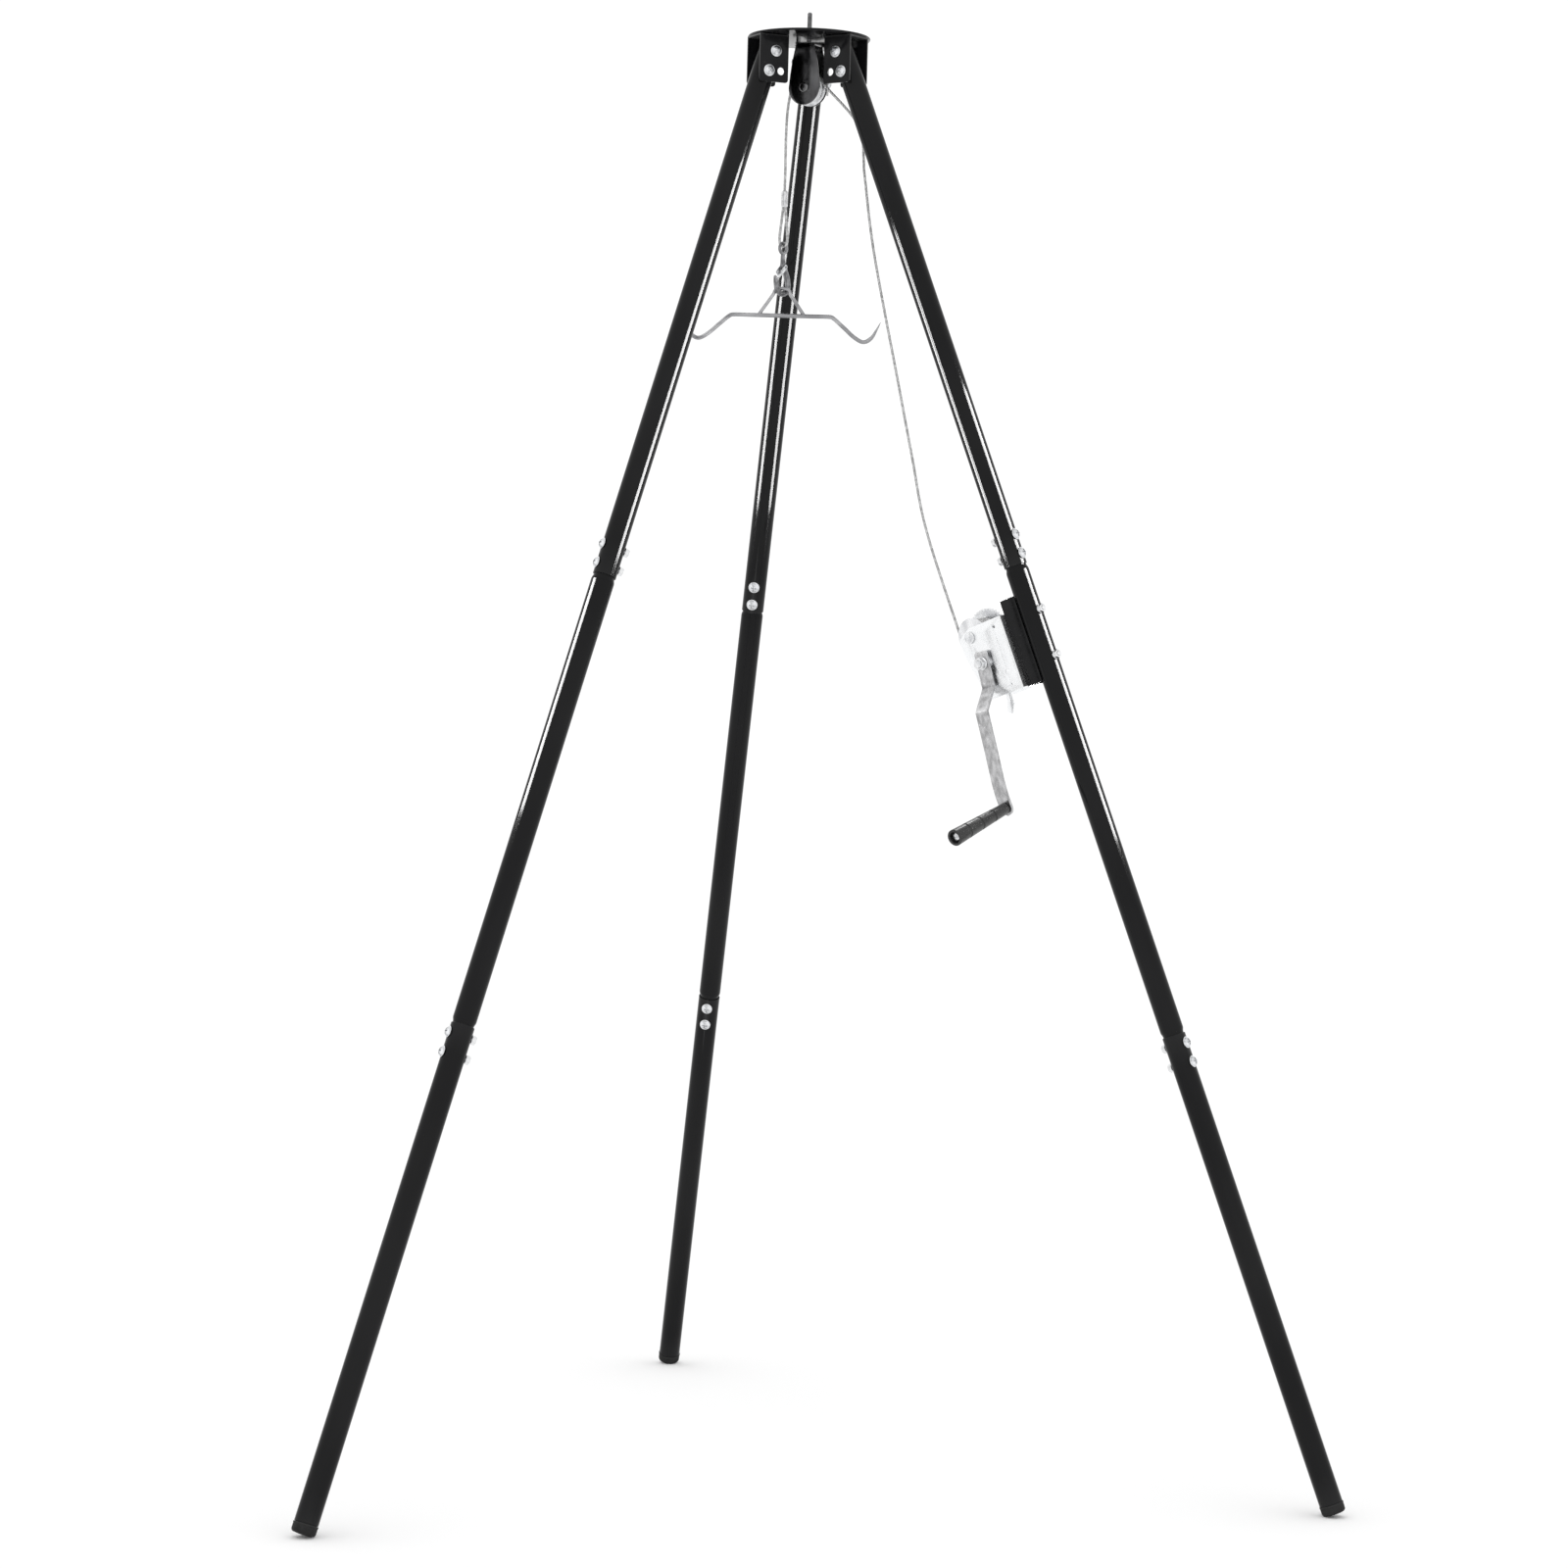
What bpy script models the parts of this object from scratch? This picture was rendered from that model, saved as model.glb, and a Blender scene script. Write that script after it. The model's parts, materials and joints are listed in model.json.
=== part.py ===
"""Gambrel hoist kit: a bolted steel tripod, a hand winch on one leg, and a gambrel on a wire rope.

Everything is in metres with +Z up. The tripod's axis is vertical, its three legs are alike apart
from the heights of their joints, and the origin ends up at the middle of the footprint, on the floor.
"""

from math import asin, atan2, ceil, cos, hypot, pi, radians, sin, tan

import bmesh
import bpy
from mathutils import Matrix, Vector

MM = 0.001
GAP = 0.3 * MM  # what two pieces that touch keep between them

# Tripod
SPLAY = radians(20.67)  # legs from the vertical
WHIRL = radians(18.74)  # each leg's lean is turned this far out of its bracket's radial plane
LEG_AZIMUTH = {"rear": radians(90), "left": radians(210), "right": radians(330)}
LEG_LENGTH = 2458 * MM  # from the bracket's middle to the floor, along the leg
LEG_OUT = 78.3 * MM  # leg's centre line from the tripod's axis, at the bracket's middle
BRACKET_MID = 49 * MM  # bracket's middle below the head plate
SHOULDER_1 = {"rear": 943 * MM, "left": 901 * MM, "right": 862 * MM}
SHOULDER_2 = {"rear": 1690 * MM, "left": 1649 * MM, "right": 1656 * MM}
HEAD_Z = BRACKET_MID + LEG_LENGTH * cos(SPLAY)  # underside of the head plate

# Tube
TUBE_R = 19 * MM
WALL = 1.6 * MM
PLUG_R = TUBE_R - WALL - 0.4 * MM  # swaged end that slides into the next tube
PLUG_LENGTH = 75 * MM
TAPER = 10 * MM
TUBE_TOP = 33 * MM  # above the bracket's middle
TUBE_SIDES = 16
JOINT_BOLTS = (17 * MM, 49 * MM)  # from the shoulder
BRACKET_BOLTS = (27.4 * MM, 59.9 * MM)  # below the head plate

# Foot cap
CAP_TOP = 21.5 * MM  # the cap's shoulder above the floor, along the leg
CAP_R = 19.8 * MM

# Bolts
BOLT_R = 4 * MM
BOLT_HOLE_R = 4.6 * MM
BOLT_HEAD_R = 9.5 * MM
BOLT_HEAD_H = 5.5 * MM
NUT_R = 7.5 * MM
NUT_H = 8 * MM

# Head
HEAD_R = 100.4 * MM
HEAD_T = 4 * MM
BRACKET_IN = 48.2 * MM
BRACKET_OUT = 99.1 * MM
BRACKET_H = 78.3 * MM
BRACKET_T = 3 * MM
BRACKET_GAP = 46 * MM
SPARE_HOLE = (61 * MM, 60 * MM, 6.2 * MM)  # out from the axis, below the plate, radius

# Pulley
PULLEY_AZIMUTH = radians(337)
SHEAVE_DROP = 79.5 * MM
ROPE_R = 2.4 * MM
SHEAVE_PITCH_R = 27 * MM
CHEEK_R = 28.5 * MM
CHEEK_TOP_DROP = 7.5 * MM
CHEEK_TOP_HALF = 16.5 * MM
CHEEK_IN = 12.5 * MM
CHEEK_T = 3 * MM
STUD_R = 4 * MM
STUD_UP = 40 * MM
ROPE_LEAVES_LEFT = radians(155)
ROPE_LEAVES_RIGHT = radians(40)

# Rope's fall and hook
FALL_OUT = 38 * MM
LOOP_TOP = 166 * MM  # ferrule's upper end below the sheave's axle
FERRULE_LENGTH = 27 * MM
FERRULE_R = 5.5 * MM
LOOP_LENGTH = 64 * MM
LOOP_HALF = 8 * MM
HOOK_AZIMUTH = radians(234)  # the way the hook opens
GAMBREL_AZIMUTH = radians(5)  # the way the gambrel's bar points
HOOK_EYE_R = 8.6 * MM  # centre line of the eye's ring
HOOK_RING_R = 2.7 * MM
BOWL_R = 14 * MM
BOWL_DROP = 78 * MM  # bottom of the hook's bowl, on its centre line, below the rope in its eye
HOOK_R = 4.7 * MM
GAMBREL_R = 3.5 * MM
HANGER_R = 3 * MM
LATCH_PIN = (-1.5 * MM, -34 * MM)

# Winch, in the winch leg's frame: x out of the tripod, y along the shafts, z up the leg
WINCH_DOWN = 979.5 * MM  # winch's middle from the bracket's middle, along the leg
WINCH_YAW = radians(-8)
MOUNT_IN = 39 * MM
MOUNT_OUT = 8 * MM
MOUNT_HALF_W = 21 * MM
MOUNT_HALF_H = 72.5 * MM
MOUNT_T = 3 * MM
WINCH_BOLT_Z = 39 * MM
FRAME_HALF_W = 31 * MM
FRAME_T = 3 * MM
FRAME_DEEP = 98 * MM
FRAME_TOP = 51 * MM
FRAME_BOTTOM = -71 * MM
PINION_X = -98 * MM
PINION_Z = -11 * MM
MODULE = 2 * MM
GEAR_TEETH = 40
PINION_TEETH = 10
DRUM_LEAN = radians(18.7)  # drum's shaft seen from the pinion's, off the leg's direction
DRUM_CORE_R = 17 * MM
DRUM_FLANGE_R = 31 * MM
WRAP_R = 28 * MM
SHAFT_R = 6 * MM
SHAFT_HOLE_R = 6.4 * MM
CRANK_HANG = radians(7)
CRANK_LENGTH = 237 * MM
CRANK_T = 5 * MM
CRANK_OFF = 5 * MM  # collar between the frame and the arm
CRANK_HALF_W = 13 * MM
CRANK_STEP = 30 * MM
GRIP_TILT = radians(10)
GRIP_LENGTH = 140 * MM
PAWL_X = -62 * MM
PAWL_Z = -38 * MM

# The rope from sheave to drum: share of the way, and how far it stands off the straight line
RUN_BOW = ((0.09, 38.5 * MM), (0.175, 28 * MM), (0.31, 12.6 * MM), (0.54, 0), (0.67, -7 * MM), (0.8, -13 * MM))


def clear_scene():
    for obj in list(bpy.data.objects):
        bpy.data.objects.remove(obj)


def material(name, colour, roughness, metallic):
    made = bpy.data.materials.get(name)
    if made:
        return made
    made = bpy.data.materials.new(name)
    made.use_nodes = True
    shader = made.node_tree.nodes["Principled BSDF"]
    shader.inputs["Base Color"].default_value = (*colour, 1)
    shader.inputs["Roughness"].default_value = roughness
    shader.inputs["Metallic"].default_value = metallic
    return made


def black_enamel():
    return material("black_enamel", (0.012, 0.012, 0.013), 0.16, 0)


def zinc():
    return material("zinc", (0.74, 0.75, 0.77), 0.28, 1)


def steel():
    return material("steel", (0.36, 0.36, 0.37), 0.35, 1)


def black_nickel():
    return material("black_nickel", (0.18, 0.18, 0.19), 0.14, 1)


def rope_steel():
    return material("rope_steel", (0.5, 0.5, 0.5), 0.4, 1)


def aluminium():
    return material("aluminium", (0.8, 0.8, 0.8), 0.35, 1)


def black_plastic():
    return material("black_plastic", (0.02, 0.02, 0.02), 0.45, 0)


# ---------------------------------------------------------------- mesh tools


def mesh_of(bm, name):
    bmesh.ops.remove_doubles(bm, verts=bm.verts, dist=1e-7)
    bmesh.ops.recalc_face_normals(bm, faces=bm.faces)
    mesh = bpy.data.meshes.new(name)
    bm.to_mesh(mesh)
    bm.free()
    return mesh


def turned(profile, sides, name="turned"):
    """A profile of (radius, z) points, spun about Z: a closed ring, or a solid if its ends are on the axis."""
    bm = bmesh.new()
    verts = [bm.verts.new((r, 0, z)) for r, z in profile]
    edges = [bm.edges.new(pair) for pair in zip(verts, verts[1:])]
    if profile[0][0] > 0:
        edges.append(bm.edges.new((verts[-1], verts[0])))
    geometry = verts + edges
    bmesh.ops.spin(bm, geom=geometry, cent=(0, 0, 0), axis=(0, 0, 1), angle=2 * pi, steps=sides, use_merge=True)
    return mesh_of(bm, name)


def extruded(outline, low, high, name="extruded"):
    """An outline of (x, z) points, extruded along Y from low to high."""
    bm = bmesh.new()
    face = bm.faces.new([bm.verts.new((x, low, z)) for x, z in outline])
    grown = bmesh.ops.extrude_face_region(bm, geom=[face])["geom"]
    moved = [item for item in grown if isinstance(item, bmesh.types.BMVert)]
    bmesh.ops.translate(bm, verts=moved, vec=(0, high - low, 0))
    return mesh_of(bm, name)


def block(low, high, name="block"):
    outline = [(low[0], low[2]), (high[0], low[2]), (high[0], high[2]), (low[0], high[2])]
    return extruded(outline, low[1], high[1], name)


def rod(start, end, radius, sides=12, name="rod"):
    """A straight round bar between two points."""
    start, end = Vector(start), Vector(end)
    mesh = turned([(0, 0), (radius, 0), (radius, (end - start).length), (0, (end - start).length)], sides, name)
    turn = (end - start).to_track_quat("Z", "Y").to_matrix().to_4x4()
    mesh.transform(Matrix.Translation(start) @ turn)
    return mesh


def moved(mesh, matrix):
    mesh.transform(matrix)
    return mesh


def combined(solid, tools, operation):
    """The solid with each tool joined to it or cut from it, as one new mesh."""
    base = bpy.data.objects.new("base", solid)
    bpy.context.collection.objects.link(base)
    helpers = []
    for tool in tools:
        helper = bpy.data.objects.new("tool", tool)
        helper.hide_render = True
        helper.display_type = "WIRE"
        bpy.context.collection.objects.link(helper)
        change = base.modifiers.new(operation, "BOOLEAN")
        change.operation = operation
        change.object = helper
        helpers.append(helper)
    bpy.context.view_layer.update()
    result = bpy.data.meshes.new_from_object(base.evaluated_get(bpy.context.evaluated_depsgraph_get()))
    for helper in [base, *helpers]:
        bpy.data.objects.remove(helper)
    return result


def joined(solid, *tools):
    return combined(solid, tools, "UNION")


def carved(solid, *tools):
    return combined(solid, tools, "DIFFERENCE")


def smooth_line(points, spacing):
    """Points about a spacing apart on the Catmull-Rom curve through the given ones."""
    points = [Vector(p) for p in points]
    padded = [2 * points[0] - points[1], *points, 2 * points[-1] - points[-2]]
    line = []
    for a, b, c, d in zip(padded, padded[1:], padded[2:], padded[3:]):
        steps = max(1, ceil((c - b).length / spacing))
        for i in range(steps):
            t = i / steps
            linear = (c - a) * t
            square = (2 * a - 5 * b + 4 * c - d) * t**2
            cube = (3 * b - a - 3 * c + d) * t**3
            line.append(b + 0.5 * (linear + square + cube))
    return [*line, points[-1]]


def tube_curve(points, radius, name, resolution=2, taper=None):
    """A curve with a round section and filled caps; taper gives each point's share of the radius."""
    curve = bpy.data.curves.new(name, "CURVE")
    curve.dimensions = "3D"
    curve.bevel_depth = radius
    curve.bevel_resolution = resolution
    curve.use_fill_caps = True
    spline = curve.splines.new("POLY")
    spline.points.add(len(points) - 1)
    for i, point in enumerate(points):
        spline.points[i].co = (*point, 1)
        spline.points[i].radius = taper[i] if taper else 1
    return curve


def tube_mesh(points, radius, name, resolution=2, taper=None):
    holder = bpy.data.objects.new(name, tube_curve(points, radius, name, resolution, taper))
    bpy.context.collection.objects.link(holder)
    bpy.context.view_layer.update()
    mesh = bpy.data.meshes.new_from_object(holder.evaluated_get(bpy.context.evaluated_depsgraph_get()))
    bpy.data.objects.remove(holder)
    bm = bmesh.new()
    bm.from_mesh(mesh)
    return mesh_of(bm, name)


def place(name, data, parent, finish):
    """A piece of the object, in its parent's frame."""
    obj = bpy.data.objects.new(name, data)
    bpy.context.collection.objects.link(obj)
    obj.parent = parent
    if not data.materials:
        data.materials.append(finish)
    if obj.type == "MESH":
        data.shade_smooth()
        data.set_sharp_from_angle(angle=radians(35))
    return obj


def frame(name, parent, matrix):
    """An empty that holds the pieces of one local frame."""
    empty = bpy.data.objects.new(name, None)
    empty.empty_display_size = 0.05
    bpy.context.collection.objects.link(empty)
    empty.parent = parent
    empty.matrix_basis = matrix
    return empty


def turn_z(angle):
    return Matrix.Rotation(angle, 4, "Z")


def axes_matrix(x, y, z, origin):
    matrix = Matrix((x, y, z)).transposed().to_4x4()
    matrix.translation = origin
    return matrix


ALONG_X = Matrix.Rotation(pi / 2, 4, "Y")  # takes +Z to +X
ALONG_Y = Matrix.Rotation(-pi / 2, 4, "X")  # takes +Z to +Y


# ---------------------------------------------------------------- frames


def leg_in_head():
    """The leg's frame in its bracket's frame: z up the leg, x outward, origin at the bracket's middle."""
    z = Vector((-sin(SPLAY) * cos(WHIRL), -sin(SPLAY) * sin(WHIRL), cos(SPLAY)))
    x = Vector((1, 0, 0))
    x = (x - x.dot(z) * z).normalized()
    return axes_matrix(x, z.cross(x), z, Vector((LEG_OUT, 0, -BRACKET_MID)))


LEG = leg_in_head()
TO_LEG = LEG.inverted()


def bracket_bolt_spots():
    """Where the bracket's two bolts cross the leg's centre line, as distances from the tripod's axis."""
    slope = tan(SPLAY) * cos(WHIRL)
    return [(LEG_OUT + (drop - BRACKET_MID) * slope, drop) for drop in BRACKET_BOLTS]


# ---------------------------------------------------------------- bolts


def bolt_mesh(grip, name):
    """A dome-headed bolt along Z with its nut: the head stands on z = 0, the nut below -grip."""
    end = -grip - NUT_H
    profile = [
        (0, BOLT_HEAD_H),
        (0.7 * BOLT_HEAD_R, 0.7 * BOLT_HEAD_H),
        (BOLT_HEAD_R, 0),
        (BOLT_R, 0),
        (BOLT_R, -grip),
        (NUT_R, -grip),
        (NUT_R, end),
        (0, end),
    ]
    mesh = turned(profile, 12, name)
    for vert in mesh.vertices:
        step = round(atan2(vert.co.y, vert.co.x) / radians(30))
        on_nut = vert.co.z < -0.9 * grip and hypot(vert.co.x, vert.co.y) > 0.9 * NUT_R
        if on_nut and step % 2:
            vert.co.x *= cos(radians(30))
            vert.co.y *= cos(radians(30))
    return mesh


def cross_holes(spots, direction, radius, reach):
    """Round cutters through the leg at the given points."""
    return [rod(p - direction * reach, p + direction * reach, radius, 8, "hole") for p in spots]


# ---------------------------------------------------------------- legs


def plain_tube(top, bottom, holes, name):
    ring = [(TUBE_R, top), (TUBE_R, bottom), (TUBE_R - WALL, bottom), (TUBE_R - WALL, top)]
    return carved(turned(ring, TUBE_SIDES, name), *holes)


def middle_tube(top, bottom, holes, name):
    """A tube with a necked plug at each end, between the shoulders at top and bottom."""
    outer = [
        (PLUG_R, top + PLUG_LENGTH),
        (PLUG_R, top),
        (TUBE_R, top - TAPER),
        (TUBE_R, bottom + TAPER),
        (PLUG_R, bottom),
        (PLUG_R, bottom - PLUG_LENGTH),
    ]
    inner = [(r - WALL, z) for r, z in reversed(outer)]
    return carved(turned(outer + inner, TUBE_SIDES, name), *holes)


def foot_cap_mesh():
    """A rubber cap: a plug in the tube and a rounded end, cut flat where it stands on the floor."""
    end = -LEG_LENGTH + CAP_TOP
    plug = PLUG_R
    profile = [
        (0, end + 25 * MM),
        (plug, end + 25 * MM),
        (plug, end + GAP),
        (plug, end),
        (CAP_R, end),
        (CAP_R, end - 12 * MM),
        (CAP_R - 1.2 * MM, end - 15 * MM),
        (CAP_R - 5 * MM, end - 16.6 * MM),
        (0, end - 17.4 * MM),
    ]
    mesh = turned(profile, TUBE_SIDES, "foot_cap")
    bm = bmesh.new()
    bm.from_mesh(mesh)
    floor_point = TO_LEG @ Vector((0, 0, -HEAD_Z))
    floor_normal = TO_LEG.to_3x3() @ Vector((0, 0, 1))
    cut = bmesh.ops.bisect_plane(
        bm,
        geom=[*bm.verts, *bm.edges, *bm.faces],
        plane_co=floor_point,
        plane_no=floor_normal,
        clear_inner=True,
    )
    rim = [item for item in cut["geom_cut"] if isinstance(item, bmesh.types.BMEdge)]
    bmesh.ops.edgeloop_fill(bm, edges=rim)
    return mesh_of(bm, "foot_cap")


def build_legs(tripod):
    """Three legs of three tubes each, with their bolts, caps and brackets. Returns the winch leg's frame."""
    bolt_way = TO_LEG.to_3x3() @ Vector((0, 1, 0))
    outward = Vector((1, 0, 0))
    bracket_spots = [TO_LEG @ Vector((out, 0, -drop)) for out, drop in bracket_bolt_spots()]
    bracket_grip = BRACKET_GAP + 2 * BRACKET_T + 2 * GAP
    bracket_bolt = bolt_mesh(bracket_grip, "bracket_bolt")
    joint_bolt = bolt_mesh(2 * TUBE_R + 2 * GAP, "joint_bolt")
    bracket = bracket_mesh()
    cap = foot_cap_mesh()
    winch = None
    for side, azimuth in LEG_AZIMUTH.items():
        socket = frame(f"socket_{side}", tripod, Matrix.Translation((0, 0, HEAD_Z)) @ turn_z(azimuth))
        leg = frame(f"leg_{side}", socket, LEG)
        shoulder, low_shoulder = -SHOULDER_1[side], -SHOULDER_2[side]
        upper_spots = [Vector((0, 0, shoulder + along)) for along in JOINT_BOLTS]
        lower_spots = [Vector((0, 0, low_shoulder - along)) for along in JOINT_BOLTS]
        upper_holes = cross_holes(upper_spots, outward, BOLT_HOLE_R, 30 * MM)
        bracket_holes = cross_holes(bracket_spots, bolt_way, BOLT_HOLE_R, 30 * MM)
        upper = plain_tube(TUBE_TOP, shoulder + GAP, upper_holes + bracket_holes, "upper_leg")
        lower_holes = cross_holes(lower_spots, outward, BOLT_HOLE_R, 30 * MM)
        lower = plain_tube(low_shoulder - GAP, -LEG_LENGTH + CAP_TOP + GAP, lower_holes, "lower_leg")
        middle_holes = cross_holes(upper_spots + lower_spots, outward, BOLT_HOLE_R, 30 * MM)
        if side == "right":
            winch = frame("winch_axes", leg, Matrix.Translation((0, 0, -WINCH_DOWN)) @ turn_z(WINCH_YAW))
            winch_way = turn_z(WINCH_YAW).to_3x3() @ outward
            winch_spots = [Vector((0, 0, -WINCH_DOWN + z)) for z in (WINCH_BOLT_Z, -WINCH_BOLT_Z)]
            middle_holes += cross_holes(winch_spots, winch_way, BOLT_HOLE_R, 30 * MM)
        middle = middle_tube(shoulder, low_shoulder, middle_holes, "middle_leg")
        place(f"bracket_{side}", bracket, socket, black_enamel())
        place(f"upper_leg_{side}", upper, leg, black_enamel())
        place(f"middle_leg_{side}", middle, leg, black_enamel())
        place(f"lower_leg_{side}", lower, leg, black_enamel())
        place(f"foot_cap_{side}", cap, leg, black_plastic())
        # Bolt heads face the side that is seen from outside, apart from the rear leg's, which face in.
        facing = -1 if side == "rear" else 1
        for i, (out, drop) in enumerate(bracket_bolt_spots(), 1):
            near = 1 if side == "left" else -1
            spot = Vector((out, near * bracket_grip / 2, -drop))
            turn = ALONG_Y if near > 0 else ALONG_Y.inverted()
            bolt = place(f"bracket_bolt_{side}_{i}", bracket_bolt, socket, zinc())
            bolt.matrix_basis = Matrix.Translation(spot) @ turn
        for level, spots in (("upper", upper_spots), ("lower", lower_spots)):
            for i, spot in enumerate(spots, 1):
                turn = ALONG_X if facing > 0 else ALONG_X.inverted()
                bolt = place(f"{level}_joint_bolt_{side}_{i}", joint_bolt, leg, zinc())
                bolt.matrix_basis = Matrix.Translation(spot + outward * facing * (TUBE_R + GAP)) @ turn
    return winch


# ---------------------------------------------------------------- head


def bracket_mesh():
    """A channel under the head plate, open downwards and at both ends, with holes for two bolts."""
    top = -GAP
    bottom = -BRACKET_H
    corner = 5 * MM
    outline = [
        (BRACKET_IN, top),
        (BRACKET_IN, bottom + corner),
        (BRACKET_IN + 0.3 * corner, bottom + 0.3 * corner),
        (BRACKET_IN + corner, bottom),
        (BRACKET_OUT - corner, bottom),
        (BRACKET_OUT - 0.3 * corner, bottom + 0.3 * corner),
        (BRACKET_OUT, bottom + corner),
        (BRACKET_OUT, top),
    ]
    half = BRACKET_GAP / 2
    body = extruded(outline, -half - BRACKET_T, half + BRACKET_T, "bracket")
    room = block((BRACKET_IN - 0.01, -half, bottom - 0.01), (BRACKET_OUT + 0.01, half, top - BRACKET_T))
    wide = Vector((0, half + 0.01, 0))
    cuts = [room]
    for out, drop in bracket_bolt_spots():
        middle = Vector((out, 0, -drop))
        cuts.append(rod(middle - wide, middle + wide, BOLT_HOLE_R, 8))
    out, drop, radius = SPARE_HOLE
    middle = Vector((out, 0, -drop))
    cuts.append(rod(middle - wide, middle + wide, radius, 12))
    return carved(body, *cuts)


def build_head(tripod):
    rim = 1 * MM
    plate = turned(
        [
            (STUD_R + 0.5 * MM, 0),
            (HEAD_R - rim, 0),
            (HEAD_R, rim),
            (HEAD_R, HEAD_T - rim),
            (HEAD_R - rim, HEAD_T),
            (STUD_R + 0.5 * MM, HEAD_T),
        ],
        40,
        "head_plate",
    )
    head = frame("head", tripod, Matrix.Translation((0, 0, HEAD_Z)))
    place("head_plate", plate, head, black_enamel())
    return head


# ---------------------------------------------------------------- pulley and hook


def sheave_point(angle, radius=SHEAVE_PITCH_R):
    return Vector((radius * cos(angle), 0, radius * sin(angle)))


def cheek_outline():
    """A teardrop about the axle: round below, narrowing to the top."""
    top = SHEAVE_DROP - CHEEK_TOP_DROP
    start = radians(12)
    steps = 14
    sweep = [start - i * (pi + 2 * start) / steps for i in range(steps + 1)]
    outline = [(CHEEK_R * cos(a), CHEEK_R * sin(a)) for a in sweep]
    outline.append((-23 * MM, 0.52 * top))
    outline.append((-CHEEK_TOP_HALF, top))
    outline.append((CHEEK_TOP_HALF, top))
    outline.append((23 * MM, 0.52 * top))
    return outline


def build_pulley(head):
    """The swivel block: housing, sheave, axle, stud and nut. Returns its frame, at the axle."""
    swivel = frame("pulley_swivel", head, turn_z(PULLEY_AZIMUTH))
    axle_frame = frame("sheave_spin", swivel, Matrix.Translation((0, 0, -SHEAVE_DROP)))
    top = SHEAVE_DROP - CHEEK_TOP_DROP
    cheek_out = CHEEK_IN + CHEEK_T
    axle_hole = rod((0, -0.02, 0), (0, 0.02, 0), 5.4 * MM, 16)
    stud_hole = rod((0, 0, top - 0.02), (0, 0, top + 0.01), STUD_R + GAP, 16)
    housing = extruded(cheek_outline(), -cheek_out, cheek_out, "pulley_housing")
    room = block((-0.05, -CHEEK_IN, -0.05), (0.05, CHEEK_IN, top - 4 * MM))
    housing = carved(housing, room, axle_hole, stud_hole)
    place("pulley_housing", housing, axle_frame, black_nickel())

    half = 10 * MM
    groove = SHEAVE_PITCH_R - ROPE_R - GAP
    flange = 28 * MM
    sheave = turned(
        [
            (5.4 * MM, -half),
            (flange - 2 * MM, -half),
            (flange, -0.85 * half),
            (groove + 1.2 * MM, -0.3 * half),
            (groove, -0.16 * half),
            (groove, 0.16 * half),
            (groove + 1.2 * MM, 0.3 * half),
            (flange, 0.85 * half),
            (flange - 2 * MM, half),
            (5.4 * MM, half),
        ],
        28,
        "sheave",
    )
    place("sheave", moved(sheave, ALONG_Y), axle_frame, zinc())

    side = cheek_out + GAP
    end = [(5 * MM, side), (7.5 * MM, side), (7.5 * MM, side + 0.8 * MM), (6 * MM, side + 2 * MM), (0, side + 2 * MM)]
    axle = turned([(r, -z) for r, z in reversed(end)] + end, 16, "pulley_axle")
    place("pulley_axle", moved(axle, ALONG_Y), axle_frame, zinc())

    under_bridge = -CHEEK_TOP_DROP - 4 * MM - GAP
    stud = turned(
        [
            (0, under_bridge - 5 * MM),
            (8 * MM, under_bridge - 5 * MM),
            (8 * MM, under_bridge),
            (STUD_R, under_bridge),
            (STUD_R, HEAD_T + STUD_UP - 2 * MM),
            (STUD_R - 1.5 * MM, HEAD_T + STUD_UP - 0.5 * MM),
            (0, HEAD_T + STUD_UP),
        ],
        12,
        "swivel_stud",
    )
    place("swivel_stud", stud, swivel, zinc())
    hole = STUD_R + GAP
    on_plate = HEAD_T + GAP
    nut = turned(
        [
            (hole, on_plate),
            (11 * MM, on_plate),
            (11 * MM, on_plate + 2 * MM),
            (7.5 * MM, on_plate + 2 * MM),
            (7.5 * MM, on_plate + 9 * MM),
            (hole, on_plate + 9 * MM),
        ],
        12,
        "stud_nut",
    )
    place("stud_nut", nut, swivel, zinc())

    steps = 12
    left, right = ROPE_LEAVES_LEFT, ROPE_LEAVES_RIGHT
    over = [sheave_point(left + (right - left) * i / steps) for i in range(steps + 1)]
    leaving = Vector((sin(right), 0, -cos(right)))
    over += [over[-1] + leaving * step * 7 * MM for step in (1, 2)]
    place("cable_over_sheave", tube_curve(over, ROPE_R, "cable_over_sheave"), axle_frame, rope_steel())
    return axle_frame, over[-1], leaving


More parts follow.
